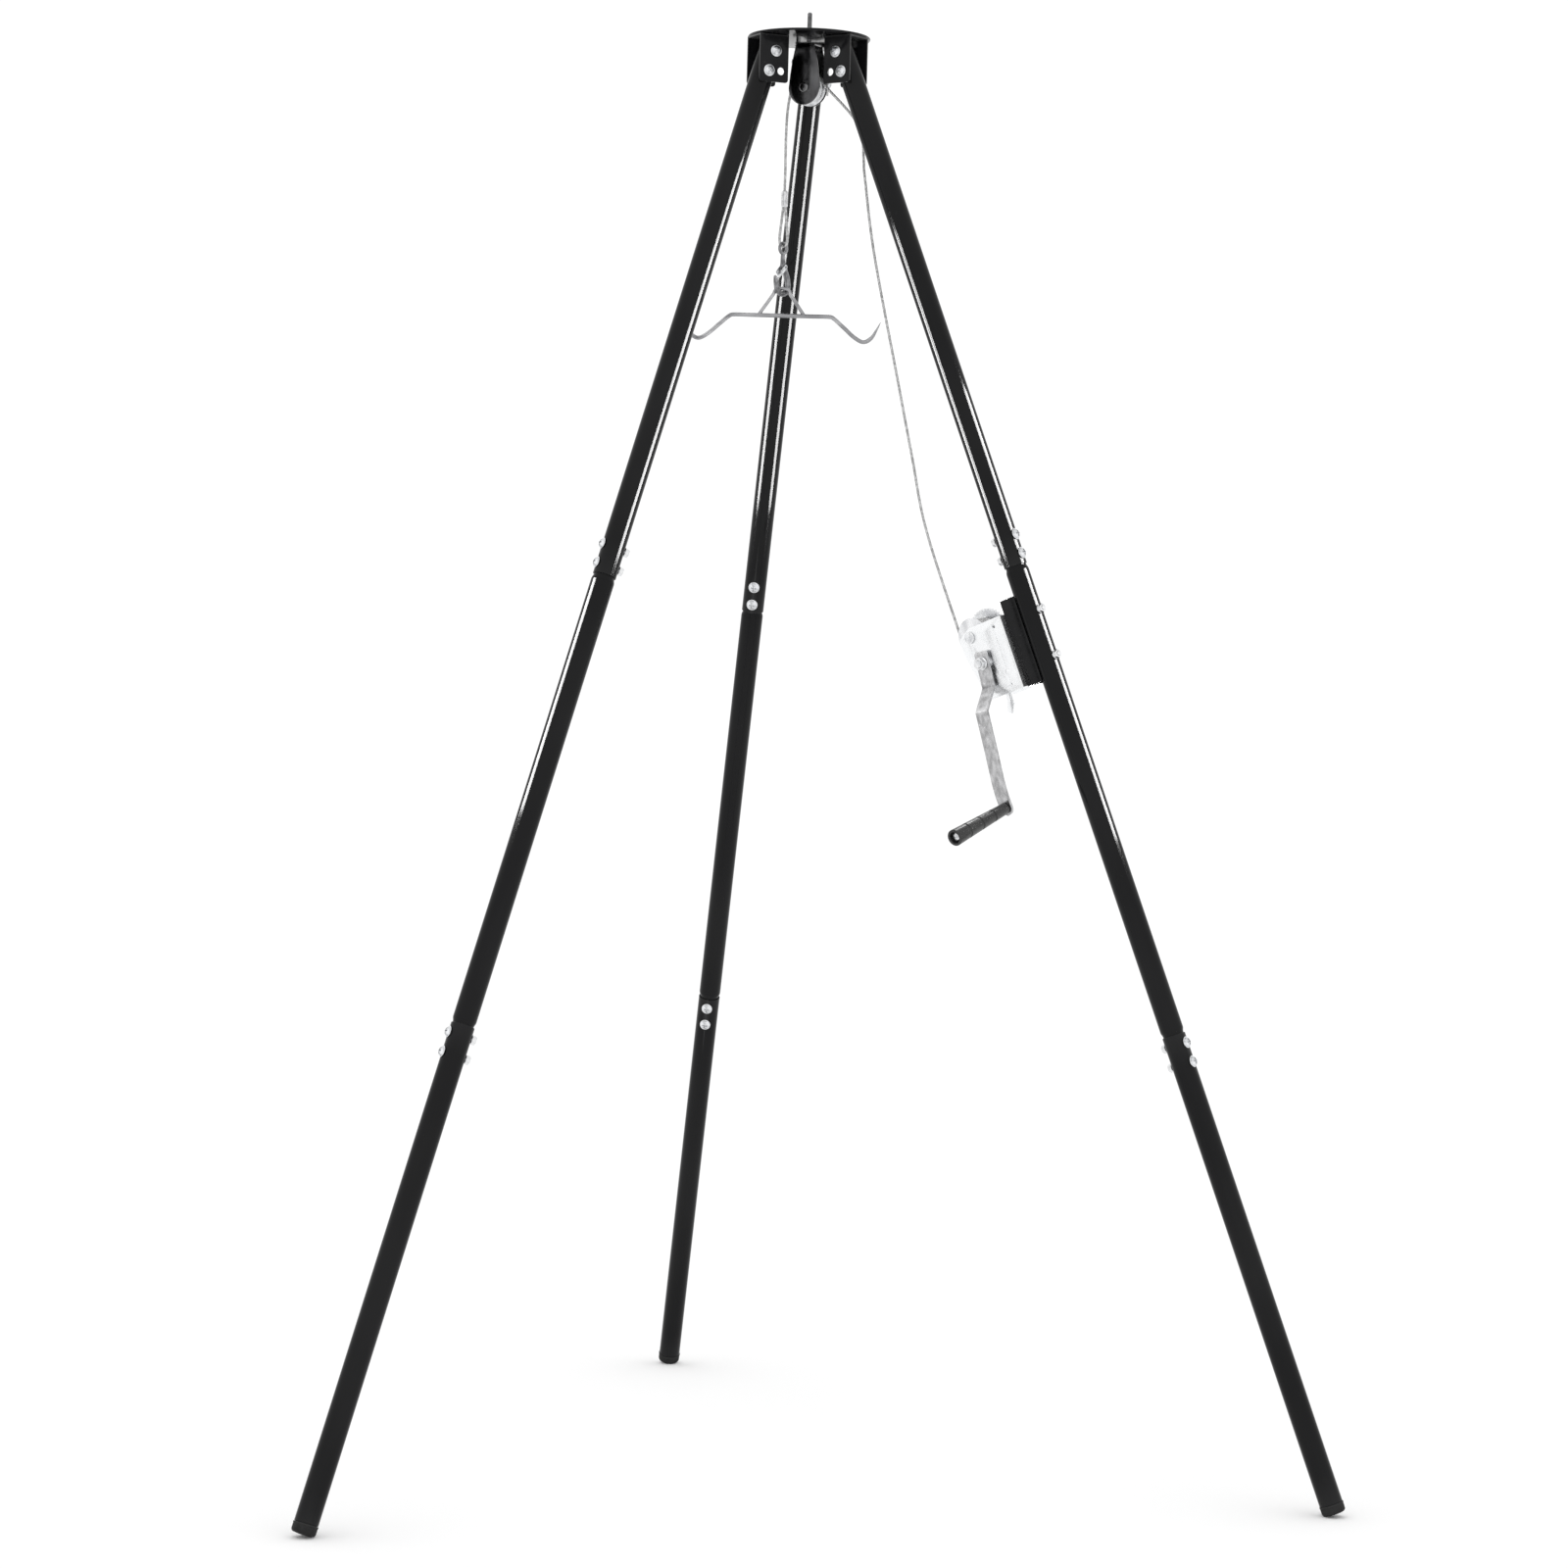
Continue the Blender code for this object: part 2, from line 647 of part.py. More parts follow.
def build_fall(axle_frame):
    """The rope from the sheave down to the ferrule, its end loop, the hook, its latch and the gambrel."""
    start = sheave_point(ROPE_LEAVES_LEFT)
    leaving = Vector((-sin(ROPE_LEAVES_LEFT), 0, cos(ROPE_LEAVES_LEFT)))
    route = [
        start + leaving * 0.5 * MM,
        Vector((-31.5 * MM, 0, -4 * MM)),
        Vector((-36.6 * MM, 0, -35 * MM)),
        Vector((-38.3 * MM, 0, -75 * MM)),
        Vector((-FALL_OUT, 0, -120 * MM)),
        Vector((-FALL_OUT, 0, -LOOP_TOP + GAP)),
    ]
    fall = tube_curve(smooth_line(route, 13 * MM), ROPE_R, "cable_fall")
    place("cable_fall", fall, axle_frame, rope_steel())

    # Frame on the fall's line, at the middle of the rope in the bottom of the end loop.
    loop_z = -LOOP_TOP - FERRULE_LENGTH - LOOP_LENGTH
    eye = frame("hook_lift", axle_frame, Matrix.Translation((-FALL_OUT, 0, loop_z)) @ turn_z(-PULLEY_AZIMUTH))
    hook_frame = frame("hook_swing", eye, turn_z(HOOK_AZIMUTH))
    ferrule_low = LOOP_LENGTH
    ferrule = turned(
        [
            (0, ferrule_low),
            (FERRULE_R - 1 * MM, ferrule_low),
            (FERRULE_R, ferrule_low + 2 * MM),
            (FERRULE_R, ferrule_low + FERRULE_LENGTH - 2 * MM),
            (FERRULE_R - 1 * MM, ferrule_low + FERRULE_LENGTH),
            (0, ferrule_low + FERRULE_LENGTH),
        ],
        12,
        "ferrule",
    )
    # The loop lies across the hook's own plane, so its bottom passes through the hook's eye.
    half_loop = [
        Vector((0, -2.6 * MM, ferrule_low + 4 * MM)),
        Vector((0, -3 * MM, ferrule_low - 6 * MM)),
        Vector((0, -5.5 * MM, 0.62 * LOOP_LENGTH)),
        Vector((0, -LOOP_HALF, 0.32 * LOOP_LENGTH)),
        Vector((0, -LOOP_HALF, 7 * MM)),
        Vector((0, -4.6 * MM, 1.4 * MM)),
    ]
    other_half = [Vector((p.x, -p.y, p.z)) for p in reversed(half_loop)]
    loop_line = smooth_line([*half_loop, Vector((0, 0, 0)), *other_half], 7 * MM)
    loop = tube_mesh(loop_line, ROPE_R, "loop")
    place("cable_end_loop", joined(ferrule, loop), hook_frame, aluminium())
    build_hook(hook_frame)
    build_gambrel(eye)


def build_hook(hook_frame):
    """x is the way the hook opens, and the origin is the middle of the rope in its eye."""
    ring_middle = -(HOOK_EYE_R - HOOK_RING_R - ROPE_R - GAP)
    ring_points = []
    for i in range(17):
        angle = 2 * pi * i / 16
        ring_points.append(Vector((HOOK_EYE_R * cos(angle), 0, ring_middle + HOOK_EYE_R * sin(angle))))
    bowl_z = -BOWL_DROP + BOWL_R
    shank = [Vector((0, 0, ring_middle - HOOK_EYE_R)), Vector((0, 0, -22 * MM)), Vector((-3 * MM, 0, -34 * MM))]
    shank.append(Vector((-11.5 * MM, 0, -52 * MM)))
    sweep = [radians(degrees) for degrees in range(180, 361, 20)]
    bowl = [Vector((BOWL_R * cos(a), 0, bowl_z + BOWL_R * sin(a))) for a in sweep]
    tip = [Vector((15.5 * MM, 0, bowl_z + 6 * MM)), Vector((19 * MM, 0, bowl_z + 15 * MM))]
    line = smooth_line([*shank, *bowl, *tip], 6 * MM)
    share = [0.72 + 0.28 * min(1, 2.2 * i / len(line)) for i in range(len(line))]
    tail = 6
    for i in range(tail):
        share[-1 - i] = min(share[-1 - i], 0.42 + 0.1 * i)
    body = tube_mesh(line, HOOK_R, "hook", 2, share)
    ring = turned(
        [(HOOK_EYE_R + HOOK_RING_R * cos(a), HOOK_RING_R * sin(a)) for a in (2 * pi * i / 8 for i in range(8))],
        16,
        "ring",
    )
    ring.transform(Matrix.Translation((0, 0, ring_middle)) @ ALONG_Y)
    pin = rod((LATCH_PIN[0], -7 * MM, LATCH_PIN[1]), (LATCH_PIN[0], 7 * MM, LATCH_PIN[1]), 1.5 * MM, 8)
    place("hook", joined(body, ring, pin), hook_frame, zinc())

    latch_frame = frame("latch_hinge", hook_frame, Matrix.Translation((LATCH_PIN[0], 0, LATCH_PIN[1])))
    # An ear on each side of the shank, joined by a tongue that closes the throat.
    half, thick = 5.2 * MM, 1 * MM
    reach = Vector((17.2 * MM, 0, -17.4 * MM))
    way = reach.normalized()
    across = Vector((-way.z, 0, way.x))
    ear = [-3.4 * way + 3.4 * across, -3.4 * way - 3.4 * across]
    ear = [v * MM for v in ear]
    ear += [way * 14 * MM - across * 3.2 * MM, way * 14 * MM + across * 3.2 * MM]
    outline = [(v.x, v.z) for v in ear]
    tongue_ends = (way * 9.5 * MM, reach)
    tongue = [tongue_ends[0] - across * 2.2 * MM, tongue_ends[1] - across * 2.2 * MM]
    tongue += [tongue_ends[1] - across * 3.2 * MM, tongue_ends[0] - across * 3.2 * MM]
    sheet = extruded([(v.x, v.z) for v in tongue], -half, half, "tongue")
    near = extruded(outline, -half - thick, -half + 0.2 * MM, "ear")
    far = extruded(outline, half - 0.2 * MM, half + thick, "ear")
    pin_hole = rod((0, -0.01, 0), (0, 0.01, 0), 1.9 * MM, 8)
    latch = carved(joined(sheet, near, far), pin_hole)
    place("hook_latch", latch, latch_frame, zinc())


def build_gambrel(eye):
    """A bar with an upturned pointed hook at each end, hung by a welded bow. x is along the bar."""
    gambrel = frame("gambrel_tilt", eye, Matrix.Translation((0, 0, -BOWL_DROP)) @ turn_z(GAMBREL_AZIMUTH))
    bow_r = HOOK_R + GAP + HANGER_R + 1 * MM
    bar_z = -35.6 * MM
    bend, foot = 82 * MM, 38 * MM
    side = [
        Vector((0, 0, bar_z)),
        Vector((0.6 * bend, 0, bar_z)),
        Vector((bend - 4 * MM, 0, bar_z)),
        Vector((bend + 4 * MM, 0, bar_z - 2.5 * MM)),
        Vector((103 * MM, 0, bar_z - 17 * MM)),
        Vector((120 * MM, 0, bar_z - 32 * MM)),
        Vector((136 * MM, 0, bar_z - 40 * MM)),
        Vector((149 * MM, 0, bar_z - 33 * MM)),
        Vector((157 * MM, 0, bar_z - 20 * MM)),
        Vector((164 * MM, 0, bar_z - 6 * MM)),
    ]
    right = smooth_line(side, 9 * MM)
    left = [Vector((-p.x, 0, p.z)) for p in reversed(right[1:])]
    line = left + right
    share = [1.0] * len(line)
    for i, value in enumerate((0.12, 0.5, 0.85)):
        share[i] = value
        share[-1 - i] = value
    bar = tube_mesh(line, GAMBREL_R, "bar", 2, share)
    shoulder = [(13.9 * MM, -0.4 * MM), (12.6 * MM, 3.8 * MM), (9 * MM, 7.4 * MM), (4.6 * MM, bow_r - 0.4 * MM)]
    bow = [Vector((x, 0, z)) for x, z in [(foot, bar_z), *shoulder]]
    bow += [Vector((0, 0, bow_r))] + [Vector((-p.x, 0, p.z)) for p in reversed(bow)]
    hanger = tube_mesh(bow, HANGER_R, "hanger")
    place("gambrel", joined(bar, hanger), gambrel, steel())


# ---------------------------------------------------------------- winch


def gear_outline(teeth, phase, thick_share=0.4):
    """Straight-flanked teeth on the pitch circle, thinned so that the pair runs with clearance."""
    pitch_r = MODULE * teeth / 2
    half = thick_share * pi / teeth
    tip, root = pitch_r + 0.8 * MODULE, pitch_r - 1.1 * MODULE
    narrow = 0.8 * MODULE * tan(radians(20)) / pitch_r
    wide = 1.1 * MODULE * tan(radians(20)) / pitch_r
    outline = []
    for i in range(teeth):
        middle = phase + 2 * pi * i / teeth
        for radius, offset in ((root, -half - wide), (tip, -half + narrow), (tip, half - narrow), (root, half + wide)):
            outline.append((radius * cos(middle + offset), radius * sin(middle + offset)))
    return outline


def ratchet_outline(teeth, tip, root):
    outline = []
    for i in range(teeth):
        angle = 2 * pi * i / teeth
        outline.append((tip * cos(angle), tip * sin(angle)))
        outline.append((root * cos(angle + 0.12), root * sin(angle + 0.12)))
    return outline


def build_winch_frame(winch):
    """The black mounting channel, the zinc frame and the bolts that hold both on the leg."""
    half_w = MOUNT_HALF_W
    body = block((-MOUNT_IN, -half_w, -MOUNT_HALF_H), (-MOUNT_OUT, half_w, MOUNT_HALF_H), "winch_mount")
    inside = half_w - MOUNT_T
    room = block((-MOUNT_IN + MOUNT_T, -inside, -0.2), (0.01, inside, 0.2))
    holes = [rod((-0.06, 0, z), (0.0, 0, z), BOLT_HOLE_R, 10) for z in (WINCH_BOLT_Z, -WINCH_BOLT_Z)]
    place("winch_mount", carved(body, room, *holes), winch, black_enamel())

    base = -MOUNT_IN - GAP
    low = (base - FRAME_DEEP, -FRAME_HALF_W, FRAME_BOTTOM)
    box = extruded(
        [
            (base, FRAME_BOTTOM),
            (base, FRAME_TOP),
            (base - 72 * MM, FRAME_TOP),
            (low[0], FRAME_TOP - 12 * MM),
            (low[0], 12 * MM),
            (base - 78 * MM, FRAME_BOTTOM),
        ],
        -FRAME_HALF_W,
        FRAME_HALF_W,
        "winch_frame",
    )
    inner = FRAME_HALF_W - FRAME_T
    room = block((low[0] - 0.01, -inner, -0.2), (base - FRAME_T, inner, 0.2))
    drum_x, drum_z = drum_spot()
    shaft_spots = ((drum_x, drum_z), (PINION_X, PINION_Z))
    shaft_holes = [rod((x, -0.05, z), (x, 0.05, z), SHAFT_HOLE_R, 14) for x, z in shaft_spots]
    base_holes = [rod((-0.06, 0, z), (0.0, 0, z), BOLT_HOLE_R, 10) for z in (WINCH_BOLT_Z, -WINCH_BOLT_Z)]
    solid = carved(box, room, *shaft_holes, *base_holes)
    pivot = rod((PAWL_X, -FRAME_HALF_W - 1.5 * MM, PAWL_Z), (PAWL_X, -17 * MM, PAWL_Z), 3 * MM, 10)
    place("winch_frame", joined(solid, pivot), winch, zinc())

    grip = base * -1 + FRAME_T + TUBE_R + 2 * GAP
    bolt = bolt_mesh(grip, "winch_bolt")
    for i, z in enumerate((WINCH_BOLT_Z, -WINCH_BOLT_Z), 1):
        obj = place(f"winch_bolt_{i}", bolt, winch, zinc())
        # The heads are inside the frame, and the nuts stand on the outer side of the leg.
        obj.matrix_basis = Matrix.Translation((base - FRAME_T - GAP, 0, z)) @ ALONG_X.inverted()


def drum_spot():
    reach = MODULE * (GEAR_TEETH + PINION_TEETH) / 2
    return PINION_X - reach * sin(DRUM_LEAN), PINION_Z + reach * cos(DRUM_LEAN)


def build_drum(winch):
    drum_x, drum_z = drum_spot()
    hub = frame("drum_spin", winch, Matrix.Translation((drum_x, 0, drum_z)))
    near, far = -24 * MM, 16.4 * MM
    drum = turned(
        [
            (SHAFT_HOLE_R, near),
            (DRUM_FLANGE_R, near),
            (DRUM_FLANGE_R, near + 2 * MM),
            (DRUM_CORE_R, near + 2 * MM),
            (DRUM_CORE_R, far),
            (SHAFT_HOLE_R, far),
        ],
        24,
        "cable_drum",
    )
    place("cable_drum", moved(drum, ALONG_Y), hub, zinc())

    first, last = near + 2 * MM + GAP, far - GAP
    turns = 8
    step = (last - first) / turns
    outer = []
    for i in range(turns):
        outer.append((WRAP_R - 0.9 * MM, first + i * step))
        outer.append((WRAP_R, first + (i + 0.5) * step))
    outer.append((WRAP_R - 0.9 * MM, last))
    inner = DRUM_CORE_R + GAP
    wraps = turned([(inner, first), *outer, (inner, last)], 20, "cable_wraps")
    place("cable_wraps", moved(wraps, ALONG_Y), hub, rope_steel())

    # A tooth space of the gear faces the pinion, whose tooth fills it.
    to_pinion = atan2(PINION_Z - drum_z, PINION_X - drum_x)
    gear = extruded(gear_outline(GEAR_TEETH, to_pinion + pi / GEAR_TEETH), 16.7 * MM, 23 * MM, "drum_gear")
    bore = rod((0, -0.05, 0), (0, 0.05, 0), SHAFT_HOLE_R, 14)
    place("drum_gear", carved(gear, bore), hub, zinc())

    side = FRAME_HALF_W + GAP
    shaft = turned(
        [
            (0, -side - 4 * MM),
            (9.5 * MM, -side - 4 * MM),
            (9.5 * MM, -side),
            (SHAFT_R, -side),
            (SHAFT_R, side),
            (9.5 * MM, side),
            (9.5 * MM, side + 7 * MM),
            (0, side + 7 * MM),
        ],
        12,
        "drum_shaft",
    )
    place("drum_shaft", moved(shaft, ALONG_Y), hub, zinc())
    return hub


def build_crank(winch):
    """The pinion's shaft with its ratchet wheel, and the crank with its turning grip."""
    spin = frame("crank_spin", winch, Matrix.Translation((PINION_X, 0, PINION_Z)))
    outer_face = FRAME_HALF_W + GAP
    arm_face = outer_face + CRANK_OFF
    nut_face = arm_face + CRANK_T + GAP
    drum_x, drum_z = drum_spot()
    to_drum = atan2(drum_z - PINION_Z, drum_x - PINION_X)
    shaft = rod((0, -nut_face - 12 * MM, 0), (0, outer_face + 4 * MM, 0), SHAFT_R, 12, "pinion_shaft")
    pinion = extruded(gear_outline(PINION_TEETH, to_drum), 16 * MM, 24 * MM, "pinion")
    ratchet = extruded(ratchet_outline(12, 15 * MM, 12 * MM), -24 * MM, -19 * MM, "ratchet")
    collar = rod((0, -arm_face + GAP, 0), (0, -outer_face, 0), 10 * MM, 12, "collar")
    end_ring = rod((0, outer_face, 0), (0, outer_face + 2 * MM, 0), 9 * MM, 12, "ring")
    place("pinion_shaft", joined(shaft, pinion, ratchet, collar, end_ring), spin, zinc())

    crank = frame("crank_hang", spin, Matrix.Rotation(CRANK_HANG, 4, "Y"))
    step_start, step_end, bend = -42 * MM, -76 * MM, -208 * MM
    low_face = arm_face + CRANK_STEP
    drop = CRANK_LENGTH + 13 * MM + bend
    inner_line = [(-arm_face, 19 * MM), (-arm_face, step_start), (-low_face, step_end), (-low_face, bend)]
    inner_line.append((-low_face + drop * sin(GRIP_TILT), bend - drop * cos(GRIP_TILT)))
    outer_line = [(-arm_face - CRANK_T, 19 * MM), (-arm_face - CRANK_T, step_start + 1.5 * MM)]
    outer_line += [(-low_face - CRANK_T, step_end + 1.5 * MM), (-low_face - CRANK_T, bend)]
    outer_line.append((outer_line[-1][0] + drop * sin(GRIP_TILT), bend - drop * cos(GRIP_TILT)))
    side_view = [(z, y) for y, z in inner_line + outer_line[::-1]]
    arm = extruded(side_view, -CRANK_HALF_W, CRANK_HALF_W, "crank_arm")
    # The outline was drawn with z across and y up, so its axes are turned to match.
    arm.transform(Matrix(((0, 1, 0, 0), (0, 0, 1, 0), (1, 0, 0, 0), (0, 0, 0, 1))))
    shaft_hole = rod((0, -0.09, 0), (0, 0, 0), SHAFT_HOLE_R, 14)
    grip_frame = grip_axes(crank, low_face, bend)
    local = grip_frame.matrix_basis
    pin_start, pin_end = local @ Vector((0, 0, -0.02)), local @ Vector((0, 0, 0.02))
    grip_hole = rod(pin_start, pin_end, 4.4 * MM, 12)
    place("crank_arm", rounded_end(carved(arm, shaft_hole, grip_hole), local), crank, zinc())

    hole = (SHAFT_R + GAP) / cos(radians(30))
    nut = turned([(hole, 0), (11 * MM, 0), (11 * MM, 9 * MM), (hole, 9 * MM)], 6, "crank_nut")
    nut.transform(Matrix.Translation((0, -nut_face, 0)) @ ALONG_Y.inverted())
    place("crank_nut", nut, spin, zinc())
    build_grip(grip_frame)
    return spin


def grip_axes(crank, low_face, bend):
    """The grip's frame on the arm's outer face: z points out along the grip."""
    along = -bend - CRANK_LENGTH
    origin = Vector((0, -low_face - CRANK_T - along * sin(GRIP_TILT), bend + along * cos(GRIP_TILT)))
    z = Vector((0, -cos(GRIP_TILT), -sin(GRIP_TILT)))
    x = Vector((1, 0, 0))
    return frame("grip_spin", crank, axes_matrix(x, z.cross(x), z, origin))


def rounded_end(arm, grip_matrix):
    """The arm with a half-round end about the grip's pin: the corners outside the round are cut away."""
    corners = block((-0.03, -0.04, -0.03), (0.03, 0, 0.03), "corners")
    cutter = carved(corners, rod((0, 0, -0.03), (0, 0, 0.03), CRANK_HALF_W, 24))
    return carved(arm, moved(cutter, grip_matrix))


def build_grip(grip_frame):
    pin = turned(
        [
            (0, -CRANK_T - 5 * MM),
            (6.5 * MM, -CRANK_T - 5 * MM),
            (6.5 * MM, -CRANK_T - GAP),
            (4 * MM, -CRANK_T - GAP),
            (4 * MM, GRIP_LENGTH - 8 * MM),
            (6.5 * MM, GRIP_LENGTH - 8 * MM),
            (6.5 * MM, GRIP_LENGTH - 4 * MM),
            (0, GRIP_LENGTH - 4 * MM),
        ],
        10,
        "grip_pin",
    )
    place("grip_pin", pin, grip_frame, zinc())
    small, large = 9.5 * MM, 13.7 * MM
    bore, mouth = 4.4 * MM, 9.5 * MM
    start = 1 * MM
    outer = [(small, start)]
    groove_w, groove_d = 1.6 * MM, 1.2 * MM
    for share in (0.27, 0.52, 0.77):
        z = start + share * (GRIP_LENGTH - start)
        radius = small + (large - small) * share
        outer += [(radius, z - groove_w), (radius - groove_d, z), (radius, z + groove_w)]
    outer += [(large, GRIP_LENGTH - 1.5 * MM), (large - 1.5 * MM, GRIP_LENGTH)]
    inner = [(mouth, GRIP_LENGTH), (mouth, GRIP_LENGTH - 9 * MM), (bore, GRIP_LENGTH - 9 * MM), (bore, start)]
    grip = turned(outer + inner, 20, "crank_grip")
    place("crank_grip", grip, grip_frame, black_plastic())


def build_pawl(winch):
    """A flat lever on a rivet in the frame's side: its nose rides on the ratchet wheel, its tail hangs out."""
    hinge = frame("pawl_pivot", winch, Matrix.Translation((PAWL_X, 0, PAWL_Z)))
    nose = Vector((PINION_X - PAWL_X, PINION_Z - PAWL_Z))
    way = nose.normalized()
    tip = nose - way * (15 * MM + 2 * GAP)
    across = Vector((-way.y, way.x))
    tail = [(-2 * MM, -9 * MM), (-14 * MM, -34 * MM), (-15 * MM, -52 * MM), (-24 * MM, -66 * MM)]
    tail += [(-33 * MM, -60 * MM), (-27 * MM, -44 * MM), (-24 * MM, -30 * MM), (-12 * MM, -6 * MM)]
    outline = [tuple(tip + across * 2 * MM), tuple(tip - across * 2 * MM)]
    outline += [(7 * MM, 6 * MM), (8.5 * MM, 0), (6 * MM, -6.5 * MM), *tail]
    body = extruded(outline, -23.5 * MM, -19.5 * MM, "pawl")
    hole = rod((0, -0.05, 0), (0, 0.05, 0), 3.4 * MM, 12)
    place("pawl", carved(body, hole), hinge, zinc())


def build_run(tripod, winch, axle_frame, start, leaving):
    """The rope from the sheave to the drum, slack enough to stand off the straight line."""
    bpy.context.view_layer.update()
    to_world = axle_frame.matrix_world
    begin = to_world @ (start + leaving * 0.5 * MM)
    way = to_world.to_3x3() @ leaving
    drum_x, drum_z = drum_spot()
    reel = winch.matrix_world
    centre = reel @ Vector((drum_x, -17 * MM, drum_z))
    shaft_way = reel.to_3x3() @ Vector((0, 1, 0))
    radius = WRAP_R + ROPE_R + GAP
    # Tangent point: the rope meets the wraps on the side that faces the tripod's axis.
    to_sheave = begin - centre
    flat = to_sheave - to_sheave.dot(shaft_way) * shaft_way
    side = flat.normalized().cross(shaft_way)
    inward = reel.to_3x3() @ Vector((-1, 0, 0))
    if side.dot(inward) < 0:
        side = -side
    swing = asin(radius / flat.length)
    end = centre + radius * (side * cos(swing) + flat.normalized() * sin(swing))
    chord = end - begin
    outward = Vector((chord.x, chord.y, 0)).normalized()
    stand_off = (outward - outward.dot(chord.normalized()) * chord.normalized()).normalized()
    route = [begin, begin + way * 12 * MM]
    route += [begin + chord * share + stand_off * off for share, off in RUN_BOW]
    route.append(end)
    line = smooth_line(route, 13 * MM)
    place("cable_run", tube_curve(line, ROPE_R, "cable_run"), tripod, rope_steel())


def centre_on_floor(root):
    """Moves the whole object so that the origin is the middle of its footprint, on the floor."""
    bpy.context.view_layer.update()
    depsgraph = bpy.context.evaluated_depsgraph_get()
    points = []
    for obj in bpy.data.objects:
        if obj.type in {"MESH", "CURVE"}:
            solid = obj.evaluated_get(depsgraph)
            points += [obj.matrix_world @ vert.co for vert in solid.to_mesh().vertices]
            solid.to_mesh_clear()
    low = [min(p[axis] for p in points) for axis in range(3)]
    high = [max(p[axis] for p in points) for axis in range(3)]
    root.location = (-(low[0] + high[0]) / 2, -(low[1] + high[1]) / 2, -low[2])


def build():
    clear_scene()
    tripod = frame("tripod", None, Matrix())
    head = build_head(tripod)
    winch = build_legs(tripod)
    axle_frame, rope_end, leaving = build_pulley(head)
    build_fall(axle_frame)
    build_winch_frame(winch)
    build_drum(winch)
    build_crank(winch)
    build_pawl(winch)
    build_run(tripod, winch, axle_frame, rope_end, leaving)
    centre_on_floor(tripod)


build()
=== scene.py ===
"""The looks of a gambrel hoist kit: a bolted tripod with a hand winch, a wire rope, a hook and a gambrel.

Lengths are in metres. Each piece is made in the local frame of the CAD solid that it stands for.
"""

import json
from math import asin, atan2, ceil, cos, pi, radians, sin, tan

import bmesh
import bpy
from mathutils import Matrix, Vector


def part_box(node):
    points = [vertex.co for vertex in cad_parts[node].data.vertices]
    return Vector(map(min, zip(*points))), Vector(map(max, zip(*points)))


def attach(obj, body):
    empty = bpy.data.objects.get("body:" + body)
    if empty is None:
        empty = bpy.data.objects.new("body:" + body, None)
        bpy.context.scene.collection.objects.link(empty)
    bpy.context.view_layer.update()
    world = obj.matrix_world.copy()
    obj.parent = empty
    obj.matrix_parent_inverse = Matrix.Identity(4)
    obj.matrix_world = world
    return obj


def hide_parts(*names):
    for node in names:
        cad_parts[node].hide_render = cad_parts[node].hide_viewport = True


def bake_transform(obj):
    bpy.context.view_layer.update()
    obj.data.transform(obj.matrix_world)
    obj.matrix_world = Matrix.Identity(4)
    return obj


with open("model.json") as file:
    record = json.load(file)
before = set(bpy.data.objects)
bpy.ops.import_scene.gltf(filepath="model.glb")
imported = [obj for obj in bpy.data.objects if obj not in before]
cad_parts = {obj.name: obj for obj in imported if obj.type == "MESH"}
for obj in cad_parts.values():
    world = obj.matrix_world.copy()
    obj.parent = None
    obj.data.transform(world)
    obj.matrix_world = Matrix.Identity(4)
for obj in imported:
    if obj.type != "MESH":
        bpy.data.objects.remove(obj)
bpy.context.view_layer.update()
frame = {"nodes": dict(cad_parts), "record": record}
MM = 0.001
GAP = 0.3 * MM
SLOTS = {entry["node"]: entry["material_slot"] for entry in frame["record"]["subparts"]}
BODY_OF = {node: body for body, nodes in frame["record"]["behaviour"]["bodies"].items() for node in nodes}

# ---------------------------------------------------------------- sizes, the same as the CAD's

SPLAY = radians(20.67)
WHIRL = radians(18.74)
LEG_AZIMUTH = {"rear": radians(90), "left": radians(210), "right": radians(330)}
LEG_LENGTH = 2458 * MM
LEG_OUT = 78.3 * MM
BRACKET_MID = 49 * MM
SHOULDER_1 = {"rear": 943 * MM, "left": 901 * MM, "right": 862 * MM}
SHOULDER_2 = {"rear": 1690 * MM, "left": 1649 * MM, "right": 1656 * MM}
TUBE_R = 19 * MM
WALL = 1.6 * MM
PLUG_R = TUBE_R - WALL - 0.4 * MM
PLUG_LENGTH = 75 * MM
TUBE_TOP = 33 * MM
JOINT_BOLTS = (17 * MM, 49 * MM)
BRACKET_BOLTS = (27.4 * MM, 59.9 * MM)
CAP_TOP = 21.5 * MM
CAP_R = 19.8 * MM
BOLT_R = 4 * MM
BOLT_HOLE_R = 4.6 * MM
BOLT_HEAD_R = 9.5 * MM
BOLT_HEAD_H = 5.5 * MM
NUT_R = 7.5 * MM
NUT_H = 8 * MM
HEAD_R = 100.4 * MM
HEAD_T = 4 * MM
BRACKET_IN = 48.2 * MM
BRACKET_OUT = 99.1 * MM
BRACKET_H = 78.3 * MM
BRACKET_T = 3 * MM
BRACKET_GAP = 46 * MM
SPARE_HOLE = (61 * MM, 60 * MM, 6.2 * MM)
PULLEY_AZIMUTH = radians(337)
SHEAVE_DROP = 79.5 * MM
ROPE_R = 2.4 * MM
ROPE_PITCH = 30 * MM
STRANDS = 6
STRAND_POINTS = 5
SHEAVE_PITCH_R = 27 * MM
CHEEK_R = 28.5 * MM
CHEEK_TOP_DROP = 7.5 * MM
CHEEK_TOP_HALF = 16.5 * MM
CHEEK_IN = 12.5 * MM
CHEEK_T = 3 * MM
STUD_R = 4 * MM
STUD_UP = 40 * MM
ROPE_LEAVES_LEFT = radians(155)
ROPE_LEAVES_RIGHT = radians(40)
FALL_OUT = 38 * MM
LOOP_TOP = 166 * MM
FERRULE_LENGTH = 27 * MM
FERRULE_R = 5.5 * MM
LOOP_LENGTH = 64 * MM
LOOP_HALF = 8 * MM
HOOK_AZIMUTH = radians(234)
